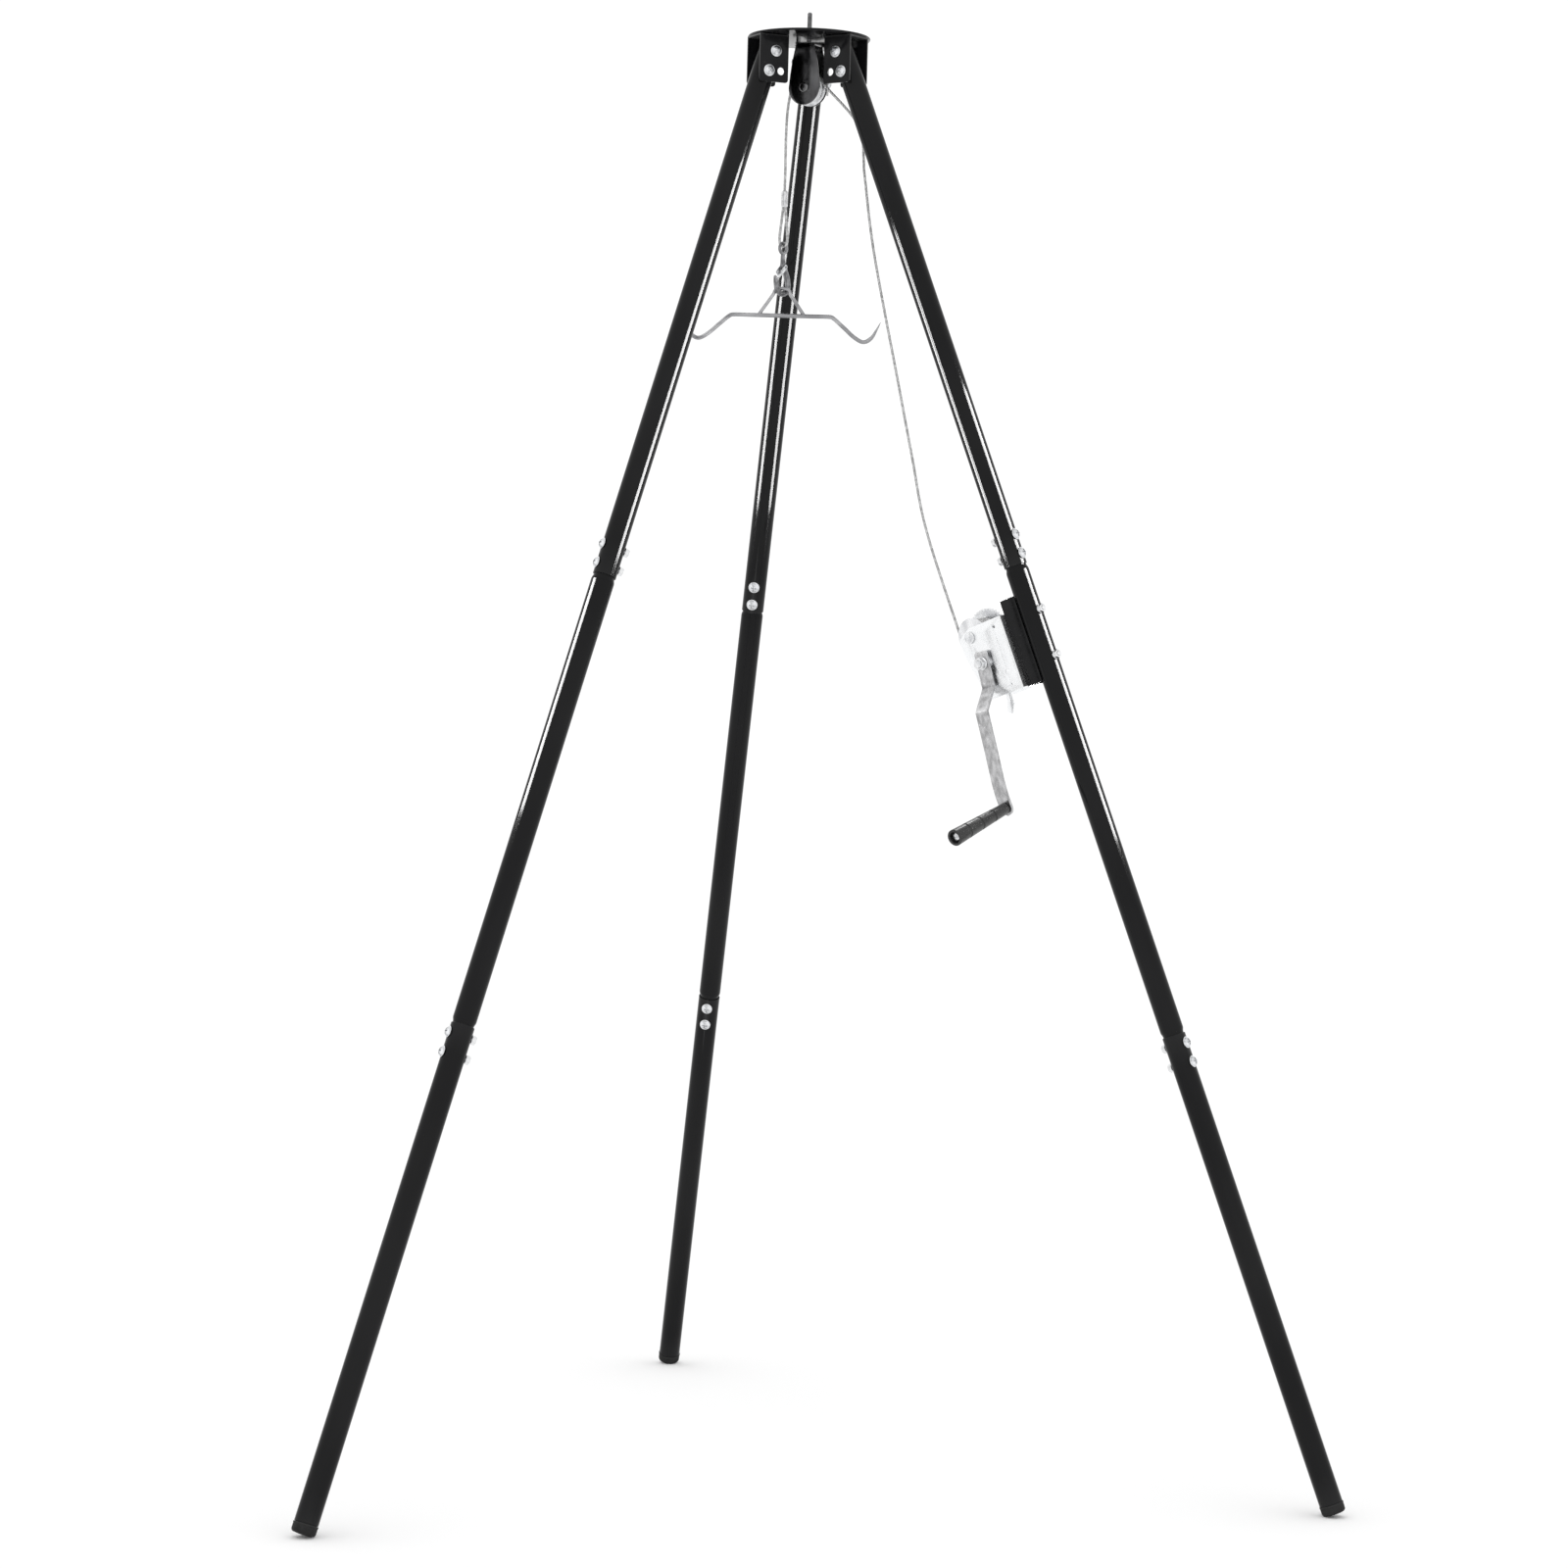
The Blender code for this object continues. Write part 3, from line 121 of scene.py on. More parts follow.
GAMBREL_AZIMUTH = radians(5)
HOOK_EYE_R = 8.6 * MM
HOOK_RING_R = 2.7 * MM
BOWL_R = 14 * MM
BOWL_DROP = 78 * MM
HOOK_R = 4.7 * MM
GAMBREL_R = 3.5 * MM
HANGER_R = 3 * MM
BAR_Z = -35.6 * MM
LATCH_PIN = (-1.5 * MM, -34 * MM)
WINCH_DOWN = 979.5 * MM
WINCH_YAW = radians(-8)
MOUNT_IN = 39 * MM
MOUNT_OUT = 8 * MM
MOUNT_HALF_W = 21 * MM
MOUNT_HALF_H = 72.5 * MM
MOUNT_T = 3 * MM
WINCH_BOLTS = (39 * MM, -39 * MM)
FRAME_HALF_W = 31 * MM
FRAME_T = 3 * MM
FRAME_DEEP = 98 * MM
FRAME_TOP = 51 * MM
FRAME_BOTTOM = -71 * MM
PINION_X = -98 * MM
PINION_Z = -11 * MM
MODULE = 2 * MM
GEAR_TEETH = 40
PINION_TEETH = 10
DRUM_LEAN = radians(18.7)
DRUM_CORE_R = 17 * MM
DRUM_FLANGE_R = 31 * MM
WRAP_R = 28 * MM
SHAFT_R = 6 * MM
BORE_R = 6.4 * MM
CRANK_HANG = radians(7)
CRANK_LENGTH = 237 * MM
CRANK_BEND = -208 * MM
CRANK_T = 5 * MM
CRANK_OFF = 5 * MM
CRANK_HALF_W = 13 * MM
CRANK_STEP = 30 * MM
GRIP_TILT = radians(10)
GRIP_LENGTH = 140 * MM
PAWL_X = -62 * MM
PAWL_Z = -38 * MM
RUN_BOW = ((0.09, 38.5 * MM), (0.175, 28 * MM), (0.31, 12.6 * MM), (0.54, 0), (0.67, -7 * MM), (0.8, -13 * MM))
ROUND = 64  # sides of the tubes
CUT_REACH = 50 * MM  # of a cutter, to each side of the middle

plate_low, plate_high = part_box("head_plate")
AXIS = Vector(((plate_low.x + plate_high.x) / 2, (plate_low.y + plate_high.y) / 2, 0))
HEAD_Z = plate_low.z

# ---------------------------------------------------------------- camera

CAMERA_AZIMUTH = radians(-84.94)
CAMERA_AWAY = 6.48875
CAMERA_HIGH = 1.33038
CAMERA_PITCH = -0.03203
CAMERA_ROLL = 0.02719
CAMERA_LENS = 90.44
CAMERA_SHIFT = (-0.00313, 0.00232)


def link(name, data):
    """A new object in the scene."""
    obj = bpy.data.objects.new(name, data)
    bpy.context.scene.collection.objects.link(obj)
    return obj


def add_camera():
    data = bpy.data.cameras.new("camera")
    data.sensor_width = 36
    data.lens = CAMERA_LENS
    data.shift_x, data.shift_y = CAMERA_SHIFT
    camera = link("camera", data)
    away = Vector((cos(CAMERA_AZIMUTH), sin(CAMERA_AZIMUTH), 0))
    aim = Matrix.Rotation(CAMERA_AZIMUTH + pi / 2, 4, "Z") @ Matrix.Rotation(pi / 2 + CAMERA_PITCH, 4, "X")
    place = Matrix.Translation(AXIS + away * CAMERA_AWAY + Vector((0, 0, CAMERA_HIGH)))
    camera.matrix_world = place @ aim @ Matrix.Rotation(CAMERA_ROLL, 4, "Z")
    bpy.context.scene.camera = camera


add_camera()
CAMERA_SPOT = bpy.context.scene.camera.matrix_world.translation.copy()

# ---------------------------------------------------------------- frames


def axes_matrix(x, y, z, origin):
    matrix = Matrix((x, y, z)).transposed().to_4x4()
    matrix.translation = origin
    return matrix


def shift(x, y, z):
    return Matrix.Translation((x, y, z))


def turn_z(angle):
    return Matrix.Rotation(angle, 4, "Z")


def leg_in_head():
    """A leg's frame in its socket's: Z runs up the tube, and the bracket holds it about the origin."""
    z = Vector((-sin(SPLAY) * cos(WHIRL), -sin(SPLAY) * sin(WHIRL), cos(SPLAY)))
    x = Vector((1, 0, 0))
    x = (x - x.dot(z) * z).normalized()
    return axes_matrix(x, z.cross(x), z, Vector((LEG_OUT, 0, -BRACKET_MID)))


def grip_in_crank():
    """The grip's frame in the crank's: Z points outward, square to the arm's tilted end."""
    low_face = FRAME_HALF_W + GAP + CRANK_OFF + CRANK_STEP
    along = -CRANK_BEND - CRANK_LENGTH
    origin = Vector((0, -low_face - CRANK_T - along * sin(GRIP_TILT), CRANK_BEND + along * cos(GRIP_TILT)))
    z = Vector((0, -cos(GRIP_TILT), -sin(GRIP_TILT)))
    x = Vector((1, 0, 0))
    return axes_matrix(x, z.cross(x), z, origin)


ALONG_X = Matrix.Rotation(pi / 2, 4, "Y")  # takes +Z to +X
ALONG_Y = Matrix.Rotation(-pi / 2, 4, "X")  # takes +Z to +Y
GEAR_REACH = MODULE * (GEAR_TEETH + PINION_TEETH) / 2
DRUM_X = PINION_X - GEAR_REACH * sin(DRUM_LEAN)
DRUM_Z = PINION_Z + GEAR_REACH * cos(DRUM_LEAN)
HEAD = shift(AXIS.x, AXIS.y, HEAD_Z)
SOCKETS = {side: HEAD @ turn_z(azimuth) for side, azimuth in LEG_AZIMUTH.items()}
LEG = leg_in_head()
LEGS = {side: socket @ LEG for side, socket in SOCKETS.items()}
SWIVEL = HEAD @ turn_z(PULLEY_AZIMUTH)
AXLE = SWIVEL @ shift(0, 0, -SHEAVE_DROP)
EYE = AXLE @ shift(-FALL_OUT, 0, -LOOP_TOP - FERRULE_LENGTH - LOOP_LENGTH) @ turn_z(-PULLEY_AZIMUTH)
HOOK = EYE @ turn_z(HOOK_AZIMUTH)
LATCH = HOOK @ shift(LATCH_PIN[0], 0, LATCH_PIN[1])
GAMBREL = EYE @ shift(0, 0, -BOWL_DROP) @ turn_z(GAMBREL_AZIMUTH)
WINCH = LEGS["right"] @ shift(0, 0, -WINCH_DOWN) @ turn_z(WINCH_YAW)
DRUM = WINCH @ shift(DRUM_X, 0, DRUM_Z)
SPIN = WINCH @ shift(PINION_X, 0, PINION_Z)
CRANK = SPIN @ Matrix.Rotation(CRANK_HANG, 4, "Y")
GRIP = CRANK @ grip_in_crank()
PAWL = WINCH @ shift(PAWL_X, 0, PAWL_Z)

# ---------------------------------------------------------------- mesh tools


def mesh_of(bm):
    bmesh.ops.remove_doubles(bm, verts=bm.verts, dist=1e-7)
    bmesh.ops.recalc_face_normals(bm, faces=bm.faces)
    mesh = bpy.data.meshes.new("part")
    bm.to_mesh(mesh)
    bm.free()
    return mesh


def about(u, v, *steps):
    """Points at steps, in millimetres, from (u, v)."""
    return [(u + a * MM, v + b * MM) for a, b in steps]


def upright(points):
    """(x, z) points as vectors in the XZ plane."""
    return [Vector((x, 0, z)) for x, z in points]


def length_of(path):
    return sum((b - a).length for a, b in zip(path, path[1:]))


def skinned(rows, closed=False):
    """A shell over rows of points; its ends are faces, unless the last row joins the first."""
    bm = bmesh.new()
    rings = [[bm.verts.new(point) for point in row] for row in rows]
    pairs = list(zip(rings, rings[1:]))
    if closed:
        pairs.append((rings[-1], rings[0]))
    for low, high in pairs:
        for j in range(len(low)):
            k = (j + 1) % len(low)
            bm.faces.new((low[j], low[k], high[k], high[j]))
    if not closed:
        bm.faces.new(rings[0][::-1])
        bm.faces.new(rings[-1])
    return mesh_of(bm)


def turned(profile, sides=48):
    """A profile of (radius, z) points, spun about Z: a closed ring, or a solid if its ends are on the axis."""
    bm = bmesh.new()
    verts = [bm.verts.new((r, 0, z)) for r, z in profile]
    edges = [bm.edges.new(pair) for pair in zip(verts, verts[1:])]
    if profile[0][0] > 0:
        edges.append(bm.edges.new((verts[-1], verts[0])))
    bmesh.ops.spin(
        bm, geom=verts + edges, cent=(0, 0, 0), axis=(0, 0, 1), angle=2 * pi, steps=sides, use_merge=True
    )
    return mesh_of(bm)


def extruded(outline, low, high):
    """An outline of (x, z) points, extruded along Y from low to high."""
    bm = bmesh.new()
    face = bm.faces.new([bm.verts.new((x, low, z)) for x, z in outline])
    grown = bmesh.ops.extrude_face_region(bm, geom=[face])["geom"]
    fresh = [item for item in grown if isinstance(item, bmesh.types.BMVert)]
    bmesh.ops.translate(bm, verts=fresh, vec=(0, high - low, 0))
    return mesh_of(bm)


def block(low, high):
    outline = [(low[0], low[2]), (high[0], low[2]), (high[0], high[2]), (low[0], high[2])]
    return extruded(outline, low[1], high[1])


def moved(mesh, matrix):
    mesh.transform(matrix)
    return mesh


def rod(start, end, radius, sides=32):
    start, end = Vector(start), Vector(end)
    length = (end - start).length
    mesh = turned([(0, 0), (radius, 0), (radius, length), (0, length)], sides)
    turn = (end - start).to_track_quat("Z", "Y").to_matrix().to_4x4()
    return moved(mesh, Matrix.Translation(start) @ turn)


def hole_y(x, z, radius):
    """A cutter for a hole along Y."""
    return rod((x, -CUT_REACH, z), (x, CUT_REACH, z), radius)


def holes_x(heights):
    """Cutters for bolt holes along X."""
    return [rod((-CUT_REACH, 0, z), (CUT_REACH, 0, z), BOLT_HOLE_R) for z in heights]


def applied(mesh, *changes):
    """The mesh with modifiers applied. A change is a type and its settings; a tool mesh becomes its object."""
    base = link("base", mesh)
    made = [base]
    for kind, settings in changes:
        modifier = base.modifiers.new(kind, kind)
        for key, value in settings.items():
            if isinstance(value, bpy.types.Mesh):
                value = link("tool", value)
                made.append(value)
            setattr(modifier, key, value)
    bpy.context.view_layer.update()
    result = bpy.data.meshes.new_from_object(base.evaluated_get(bpy.context.evaluated_depsgraph_get()))
    for obj in made:
        bpy.data.objects.remove(obj)
    return result


def carved(mesh, *tools):
    return applied(mesh, *[("BOOLEAN", {"operation": "DIFFERENCE", "object": tool}) for tool in tools])


def bevelled(mesh, width, segments=2, angle=32):
    settings = {"width": width, "segments": segments, "limit_method": "ANGLE", "angle_limit": radians(angle)}
    return applied(mesh, ("BEVEL", settings))


def merged(*meshes):
    """Several closed shells as one mesh."""
    bm = bmesh.new()
    for mesh in meshes:
        bm.from_mesh(mesh)
    mesh = bpy.data.meshes.new("merged")
    bm.to_mesh(mesh)
    bm.free()
    return mesh


def smooth_line(points, spacing):
    """Points about a spacing apart on the Catmull-Rom curve through the given ones."""
    points = [Vector(p) for p in points]
    padded = [2 * points[0] - points[1], *points, 2 * points[-1] - points[-2]]
    line = []
    for a, b, c, d in zip(padded, padded[1:], padded[2:], padded[3:]):
        steps = max(1, ceil((c - b).length / spacing))
        for i in range(steps):
            t = i / steps
            linear = (c - a) * t
            square = (2 * a - 5 * b + 4 * c - d) * t**2
            cube = (3 * b - a - 3 * c + d) * t**3
            line.append(b + 0.5 * (linear + square + cube))
    return [*line, points[-1]]


def evened(line, spacing):
    """The same polyline with points an equal distance apart."""
    total = length_of(line)
    count = max(2, round(total / spacing))
    step, result, walked, index = total / count, [line[0].copy()], 0.0, 0
    for i in range(1, count):
        target = i * step
        while walked + (line[index + 1] - line[index]).length < target:
            walked += (line[index + 1] - line[index]).length
            index += 1
        way = line[index + 1] - line[index]
        result.append(line[index] + way * ((target - walked) / way.length))
    return [*result, line[-1].copy()]


def swept(line, section, closed=False, hint=Vector((0, 1, 0))):
    """A shell along a line. section(i) gives the (u, v) outline at each point; v is near hint."""
    rows = []
    count = len(line)
    side = hint
    for i, point in enumerate(line):
        before = line[i - 1] if i or closed else point
        after = line[(i + 1) % count] if i + 1 < count or closed else point
        way = (after - before).normalized()
        side = (side - side.dot(way) * way).normalized()
        across = side.cross(way)
        rows.append([point + across * u + side * v for u, v in section(i)])
    return skinned(rows, closed)


def circle(radius, sides):
    return [(radius * cos(2 * pi * j / sides), radius * sin(2 * pi * j / sides)) for j in range(sides)]


def bar_mesh(line, radius, sides=24, shares=None, closed=False):
    """A round bar; shares gives each point's part of the radius."""
    return swept(line, lambda i: circle(radius * (shares[i] if shares else 1), sides), closed)


def rope_mesh(line, spacing=3.5 * MM):
    """A laid wire rope, its round strands twisted about the line. Returns it and its evened line."""
    line = evened(line, spacing)
    step = (line[1] - line[0]).length
    strand_r = ROPE_R / 3.05
    lay_r = ROPE_R - strand_r
    base = []
    for s in range(STRANDS):
        centre = 2 * pi * s / STRANDS
        for j in range(STRAND_POINTS):
            lean = centre + radians(-72 + 144 * j / (STRAND_POINTS - 1))
            u, v = lay_r * cos(centre) + strand_r * cos(lean), lay_r * sin(centre) + strand_r * sin(lean)
            base.append((u, v))

    def section(i):
        turn = 2 * pi * i * step / ROPE_PITCH
        return [(u * cos(turn) - v * sin(turn), u * sin(turn) + v * cos(turn)) for u, v in base]

    return swept(line, section), line


def hexagon(radius, low, high, bore=None):
    """A hexagonal prism along Z with its corners turned off, as a nut or a bolt's head has."""
    prism = turned([(0, low), (radius, low), (radius, high), (0, high)], 6)
    chamfer = 0.16 * (high - low)
    cone = [(0, low), (0.93 * radius, low), (1.02 * radius, low + chamfer)]
    cone += [(1.02 * radius, high - chamfer), (0.93 * radius, high), (0, high)]
    nut = applied(prism, ("BOOLEAN", {"operation": "INTERSECT", "object": turned(cone, 48)}))
    if bore:
        start, end = low - 10 * MM, high + 10 * MM
        nut = carved(nut, turned([(0, start), (bore, start), (bore, end), (0, end)], 32))
    return nut


def threaded(radius, low, high, pitch=1.25 * MM):
    """The (radius, z) profile of a thread's ridges, from low to high."""
    depth = 0.5 * pitch
    turns = max(1, round((high - low) / pitch))
    step = (high - low) / turns
    profile = []
    for i in range(turns):
        profile += [(radius, low + (i + 0.15) * step), (radius, low + (i + 0.4) * step)]
        profile += [(radius - depth, low + (i + 0.65) * step), (radius - depth, low + (i + 0.9) * step)]
    return profile


# ---------------------------------------------------------------- materials


def fill(tree, node, inputs):
    """Fills a node's inputs, each with a constant or with another node's output."""
    for key, value in inputs.items():
        if isinstance(value, bpy.types.NodeSocket):
            tree.links.new(value, node.inputs[key])
        else:
            node.inputs[key].default_value = value


def add_node(tree, kind, inputs, **settings):
    """A new shader node, with its settings made before its inputs are filled."""
    node = tree.nodes.new(kind)
    for key, value in settings.items():
        setattr(node, key, value)
    fill(tree, node, inputs)
    return node


def rgb(colour):
    """A colour; a single number is a grey."""
    return colour if isinstance(colour, tuple) else (colour, colour, colour)


def ramp(tree, factor, *stops):
    node = add_node(tree, "ShaderNodeValToRGB", {"Fac": factor})
    for element, (position, colour) in zip(node.color_ramp.elements, stops):
        element.position = position
        element.color = (*rgb(colour), 1)
    return node.outputs["Color"]


def noise(tree, place, scale, detail, stretch=(1, 1, 1)):
    mapping = add_node(tree, "ShaderNodeMapping", {"Scale": stretch, "Vector": place})
    inputs = {"Scale": scale, "Detail": detail, "Vector": mapping.outputs["Vector"]}
    return add_node(tree, "ShaderNodeTexNoise", inputs).outputs["Fac"]


def mixed(tree, factor, colour, other):
    mix = add_node(tree, "ShaderNodeMix", {}, data_type="RGBA")
    fill(tree, mix, {"Factor": factor, "A": colour, "B": (*rgb(other), 1)})
    return mix.outputs["Result"]


def look(
    name,
    dark,
    light,
    rough,
    metallic=0.0,
    patches=18,
    patch_stretch=(1, 1, 1),
    grain=400,
    grain_stretch=(1, 1, 1),
    bump=0.1,
    depth=0.2 * MM,
    specular=0.5,
    wear=None,
    specks=None,
):
    """A material with patches of two colours, a fine grain in its roughness and relief, and worn edges.

    wear is the colour of the metal that shows at edges; specks is the colour of small marks.
    """
    material = bpy.data.materials.new(name)
    material.use_nodes = True
    tree = material.node_tree
    place = tree.nodes.new("ShaderNodeTexCoord").outputs["Object"]
    colour = ramp(tree, noise(tree, place, patches, 5, patch_stretch), (0.36, dark), (0.64, light))
    fine = noise(tree, place, grain, 6, grain_stretch)
    if specks:
        colour = mixed(tree, ramp(tree, noise(tree, place, 160, 2), (0.70, 0), (0.76, 1)), colour, specks)
    if wear:
        edge = tree.nodes.new("ShaderNodeNewGeometry").outputs["Pointiness"]
        edge = ramp(tree, edge, (0.53, 0), (0.60, 1))
        worn = add_node(tree, "ShaderNodeMath", {0: edge, 1: fine}, operation="MULTIPLY")
        colour = mixed(tree, worn.outputs["Value"], colour, wear)
    inputs = {"From Min": 0.3, "From Max": 0.7, "To Min": rough[0], "To Max": rough[1], "Value": fine}
    spread = add_node(tree, "ShaderNodeMapRange", inputs)
    relief = add_node(tree, "ShaderNodeBump", {"Strength": bump, "Distance": depth, "Height": fine})
    inputs = {"Base Color": colour, "Roughness": spread.outputs["Result"], "Normal": relief.outputs["Normal"]}
    inputs |= {"Metallic": metallic, "Specular IOR Level": specular}
    fill(tree, tree.nodes["Principled BSDF"], inputs)
    return material


ENAMEL = look(
    "black_enamel", (0.008, 0.008, 0.0085), (0.013, 0.013, 0.0135), (0.04, 0.07), patches=9,
    patch_stretch=(1, 1, 0.3), grain=40, grain_stretch=(1, 1, 0.4), bump=0.02, depth=0.1 * MM, specular=0.1,
    wear=0.05, specks=(0.012, 0.012, 0.013),
)
PRESSED_ENAMEL = look(
    "black_enamel_plate", (0.004, 0.004, 0.0045), (0.008, 0.008, 0.009), (0.09, 0.2), patches=30, grain=300,
    bump=0.08, depth=0.1 * MM, specular=0.16, wear=0.09, specks=0.02,
)
RUBBER = look("rubber", 0.006, 0.016, (0.5, 0.75), patches=45, grain=700, bump=0.25, specular=0.25, wear=0.05)
PLASTIC = look(
    "grip_plastic", 0.014, 0.04, (0.22, 0.38), patches=40, patch_stretch=(1, 1, 0.3), grain=500, bump=0.12,
    specular=0.4, wear=0.08,
)
BOLT_ZINC = look(
    "zinc_bolts", (0.5, 0.51, 0.52), (0.86, 0.87, 0.89), (0.2, 0.4), 1.0, patches=120, grain=900, bump=0.15,
    wear=0.9,
)
SHEET_ZINC = look(
    "zinc_sheet", (0.87, 0.88, 0.89), (0.94, 0.95, 0.96), (0.2, 0.34), 1.0, patches=26, grain=420,
    grain_stretch=(1, 1, 0.12), bump=0.06, wear=0.97, specks=(0.78, 0.79, 0.8),
)
BRUSHED_ZINC = look(
    "zinc_brushed", (0.5, 0.51, 0.53), (0.92, 0.93, 0.95), (0.16, 0.4), 1.0, patches=75,
    patch_stretch=(1, 1, 0.25), grain=650, grain_stretch=(1, 1, 0.06), bump=0.14, wear=0.95,
    specks=(0.35, 0.36, 0.38),
)
GEAR_ZINC = look(
    "zinc_gears", (0.6, 0.61, 0.63), (0.86, 0.87, 0.88), (0.22, 0.45), 1.0, patches=90, grain=700, bump=0.15,
    wear=0.9, specks=(0.2, 0.19, 0.18),
)
ARM_ZINC = look(
    "zinc_arm", (0.17, 0.17, 0.175), (0.46, 0.46, 0.47), (0.18, 0.34), 1.0, patches=150,
    patch_stretch=(1, 1, 0.5), grain=700, grain_stretch=(1, 1, 0.2), bump=0.2, wear=0.95,
    specks=(0.85, 0.85, 0.87),
)
HOOK_ZINC = look(
    "zinc_forged", (0.13, 0.13, 0.135), (0.34, 0.34, 0.35), (0.3, 0.5), 1.0, patches=110, grain=380, bump=0.35,
    wear=0.7,
)
BAR_STEEL = look(
    "drawn_steel", (0.26, 0.26, 0.27), (0.5, 0.5, 0.51), (0.24, 0.42), 1.0, patches=60,
    patch_stretch=(0.2, 1, 1), grain=600, grain_stretch=(0.06, 1, 1), bump=0.12, wear=0.6,
)
NICKEL = look(
    "black_nickel", (0.025, 0.025, 0.026), (0.11, 0.11, 0.113), (0.12, 0.24), 1.0, patches=30,
    patch_stretch=(1, 1, 0.6), grain=350, bump=0.06, wear=0.6,
)
ROPE_WIRE = look("wire_rope", 0.3, 0.62, (0.3, 0.5), 1.0, patches=200, grain=1400, bump=0.3, wear=0.75)
ALUMINIUM = look(
    "aluminium", (0.5, 0.5, 0.51), (0.8, 0.8, 0.81), (0.28, 0.46), 1.0, patches=140, grain=800, bump=0.2,
    wear=0.9,
)
STUD_METAL = look(
    "stud_steel", 0.1, (0.24, 0.24, 0.25), (0.3, 0.5), 1.0, patches=120, grain=900, bump=0.2, wear=0.6
)
LOOKS = {
    "black_enamel": ENAMEL,
    "rubber_cap": RUBBER,
    "grip_plastic": PLASTIC,
    "zinc_bolts": BOLT_ZINC,
    "zinc_small": BOLT_ZINC,
    "zinc_hook": HOOK_ZINC,
    "zinc_winch": BRUSHED_ZINC,
    "steel_bar": BAR_STEEL,
    "black_nickel": NICKEL,
    "wire_rope": ROPE_WIRE,
    "loop_aluminium": ALUMINIUM,
}


def dress_cad_nodes():
    """Every CAD node gets its slot's material, whether or not a piece stands for it."""
    for name, obj in frame["nodes"].items():
        obj.data.materials.clear()
        obj.data.materials.append(LOOKS[SLOTS[name]])


dress_cad_nodes()


def stand_in(node, mesh, matrix, material=None, angle=35):
    """A detailed piece for one CAD node: it rides on the node's body and takes its slot."""
    obj = link(f"{node}_piece", mesh)
    if not mesh.materials:
        mesh.materials.append(material or LOOKS[SLOTS[node]])
        mesh.shade_smooth()
        mesh.set_sharp_from_angle(angle=radians(angle))
    obj.matrix_world = matrix
    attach(obj, BODY_OF[node])
    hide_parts(node)
    return obj


# ---------------------------------------------------------------- bolts


def cross_recess(top, radius):
    """Cutters for a cross-shaped driver's recess in a bolt's head."""
    arm, half = 0.52 * radius, 0.11 * radius
    deep = top - 0.42 * radius
    return [block((-x, -y, deep), (x, y, top + 0.01)) for x, y in ((arm, half), (half, arm))]


def bolt_mesh(grip):
    """A dome-headed bolt along Z: washer and head above z = 0, washer, nut and thread's end below -grip."""
    dome_r, end = 0.8 * BOLT_HEAD_R, -grip - NUT_H
    profile = [(0, BOLT_HEAD_H)]
    for i in range(1, 9):
        angle = radians(90 - 78 * i / 8)
        profile.append((dome_r * cos(angle) / cos(radians(12)), 1 * MM + (BOLT_HEAD_H - 1 * MM) * sin(angle)))
    profile += [(dome_r, 1 * MM), (0.93 * BOLT_HEAD_R, 1 * MM), (BOLT_HEAD_R, 0.6 * MM), (BOLT_HEAD_R, 0)]
    profile += [(BOLT_R, 0), (BOLT_R, -grip + GAP), *threaded(BOLT_R, -grip + GAP, end + 0.6 * MM)]
    profile += [(BOLT_R - 0.6 * MM, end), (0, end)]
    body = carved(turned(profile, 40), *cross_recess(BOLT_HEAD_H, BOLT_HEAD_R))
    low = -grip - 1.2 * MM
    washer = turned([(BOLT_R, -grip), (NUT_R, -grip), (NUT_R, low), (BOLT_R, low)], 40)
    return merged(body, washer, hexagon(NUT_R, end + 0.8 * MM, low, BOLT_R - 0.1 * MM))


# ---------------------------------------------------------------- legs


def tube_mesh(top, bottom):
    """A straight tube with softened outer edges."""
    lip, steps = 0.5 * MM, 12
    ring = [(TUBE_R - lip, top), (TUBE_R, top - lip)]
    ring += [(TUBE_R, top - lip + (bottom - top + 2 * lip) * i / steps) for i in range(1, steps)]
    ring += [(TUBE_R, bottom + lip), (TUBE_R - lip, bottom), (TUBE_R - WALL, bottom), (TUBE_R - WALL, top)]
    return turned(ring, ROUND)


def middle_mesh(top, bottom):
    """A tube swaged down at both ends, with the neck's smooth shoulder."""
    shoulder = [(0, 0), (0.1, 0.02), (0.3, 0.16), (0.5, 0.5), (0.7, 0.84), (0.9, 0.98), (1, 1)]
    taper, steps = 10 * MM, 10
    outer = about(PLUG_R, top + PLUG_LENGTH, (-0.5, 0), (0, -0.5))
    outer += [(PLUG_R + (TUBE_R - PLUG_R) * rise, top - taper * along) for along, rise in shoulder]
    outer += [(TUBE_R, top - taper + (bottom - top + 2 * taper) * i / steps) for i in range(1, steps)]
    outer += [(PLUG_R + (TUBE_R - PLUG_R) * rise, bottom + taper * along) for along, rise in reversed(shoulder)]
    outer += about(PLUG_R, bottom - PLUG_LENGTH, (0, 0.5), (-0.5, 0))
    return turned(outer + [(r - WALL, z) for r, z in reversed(outer)], ROUND)


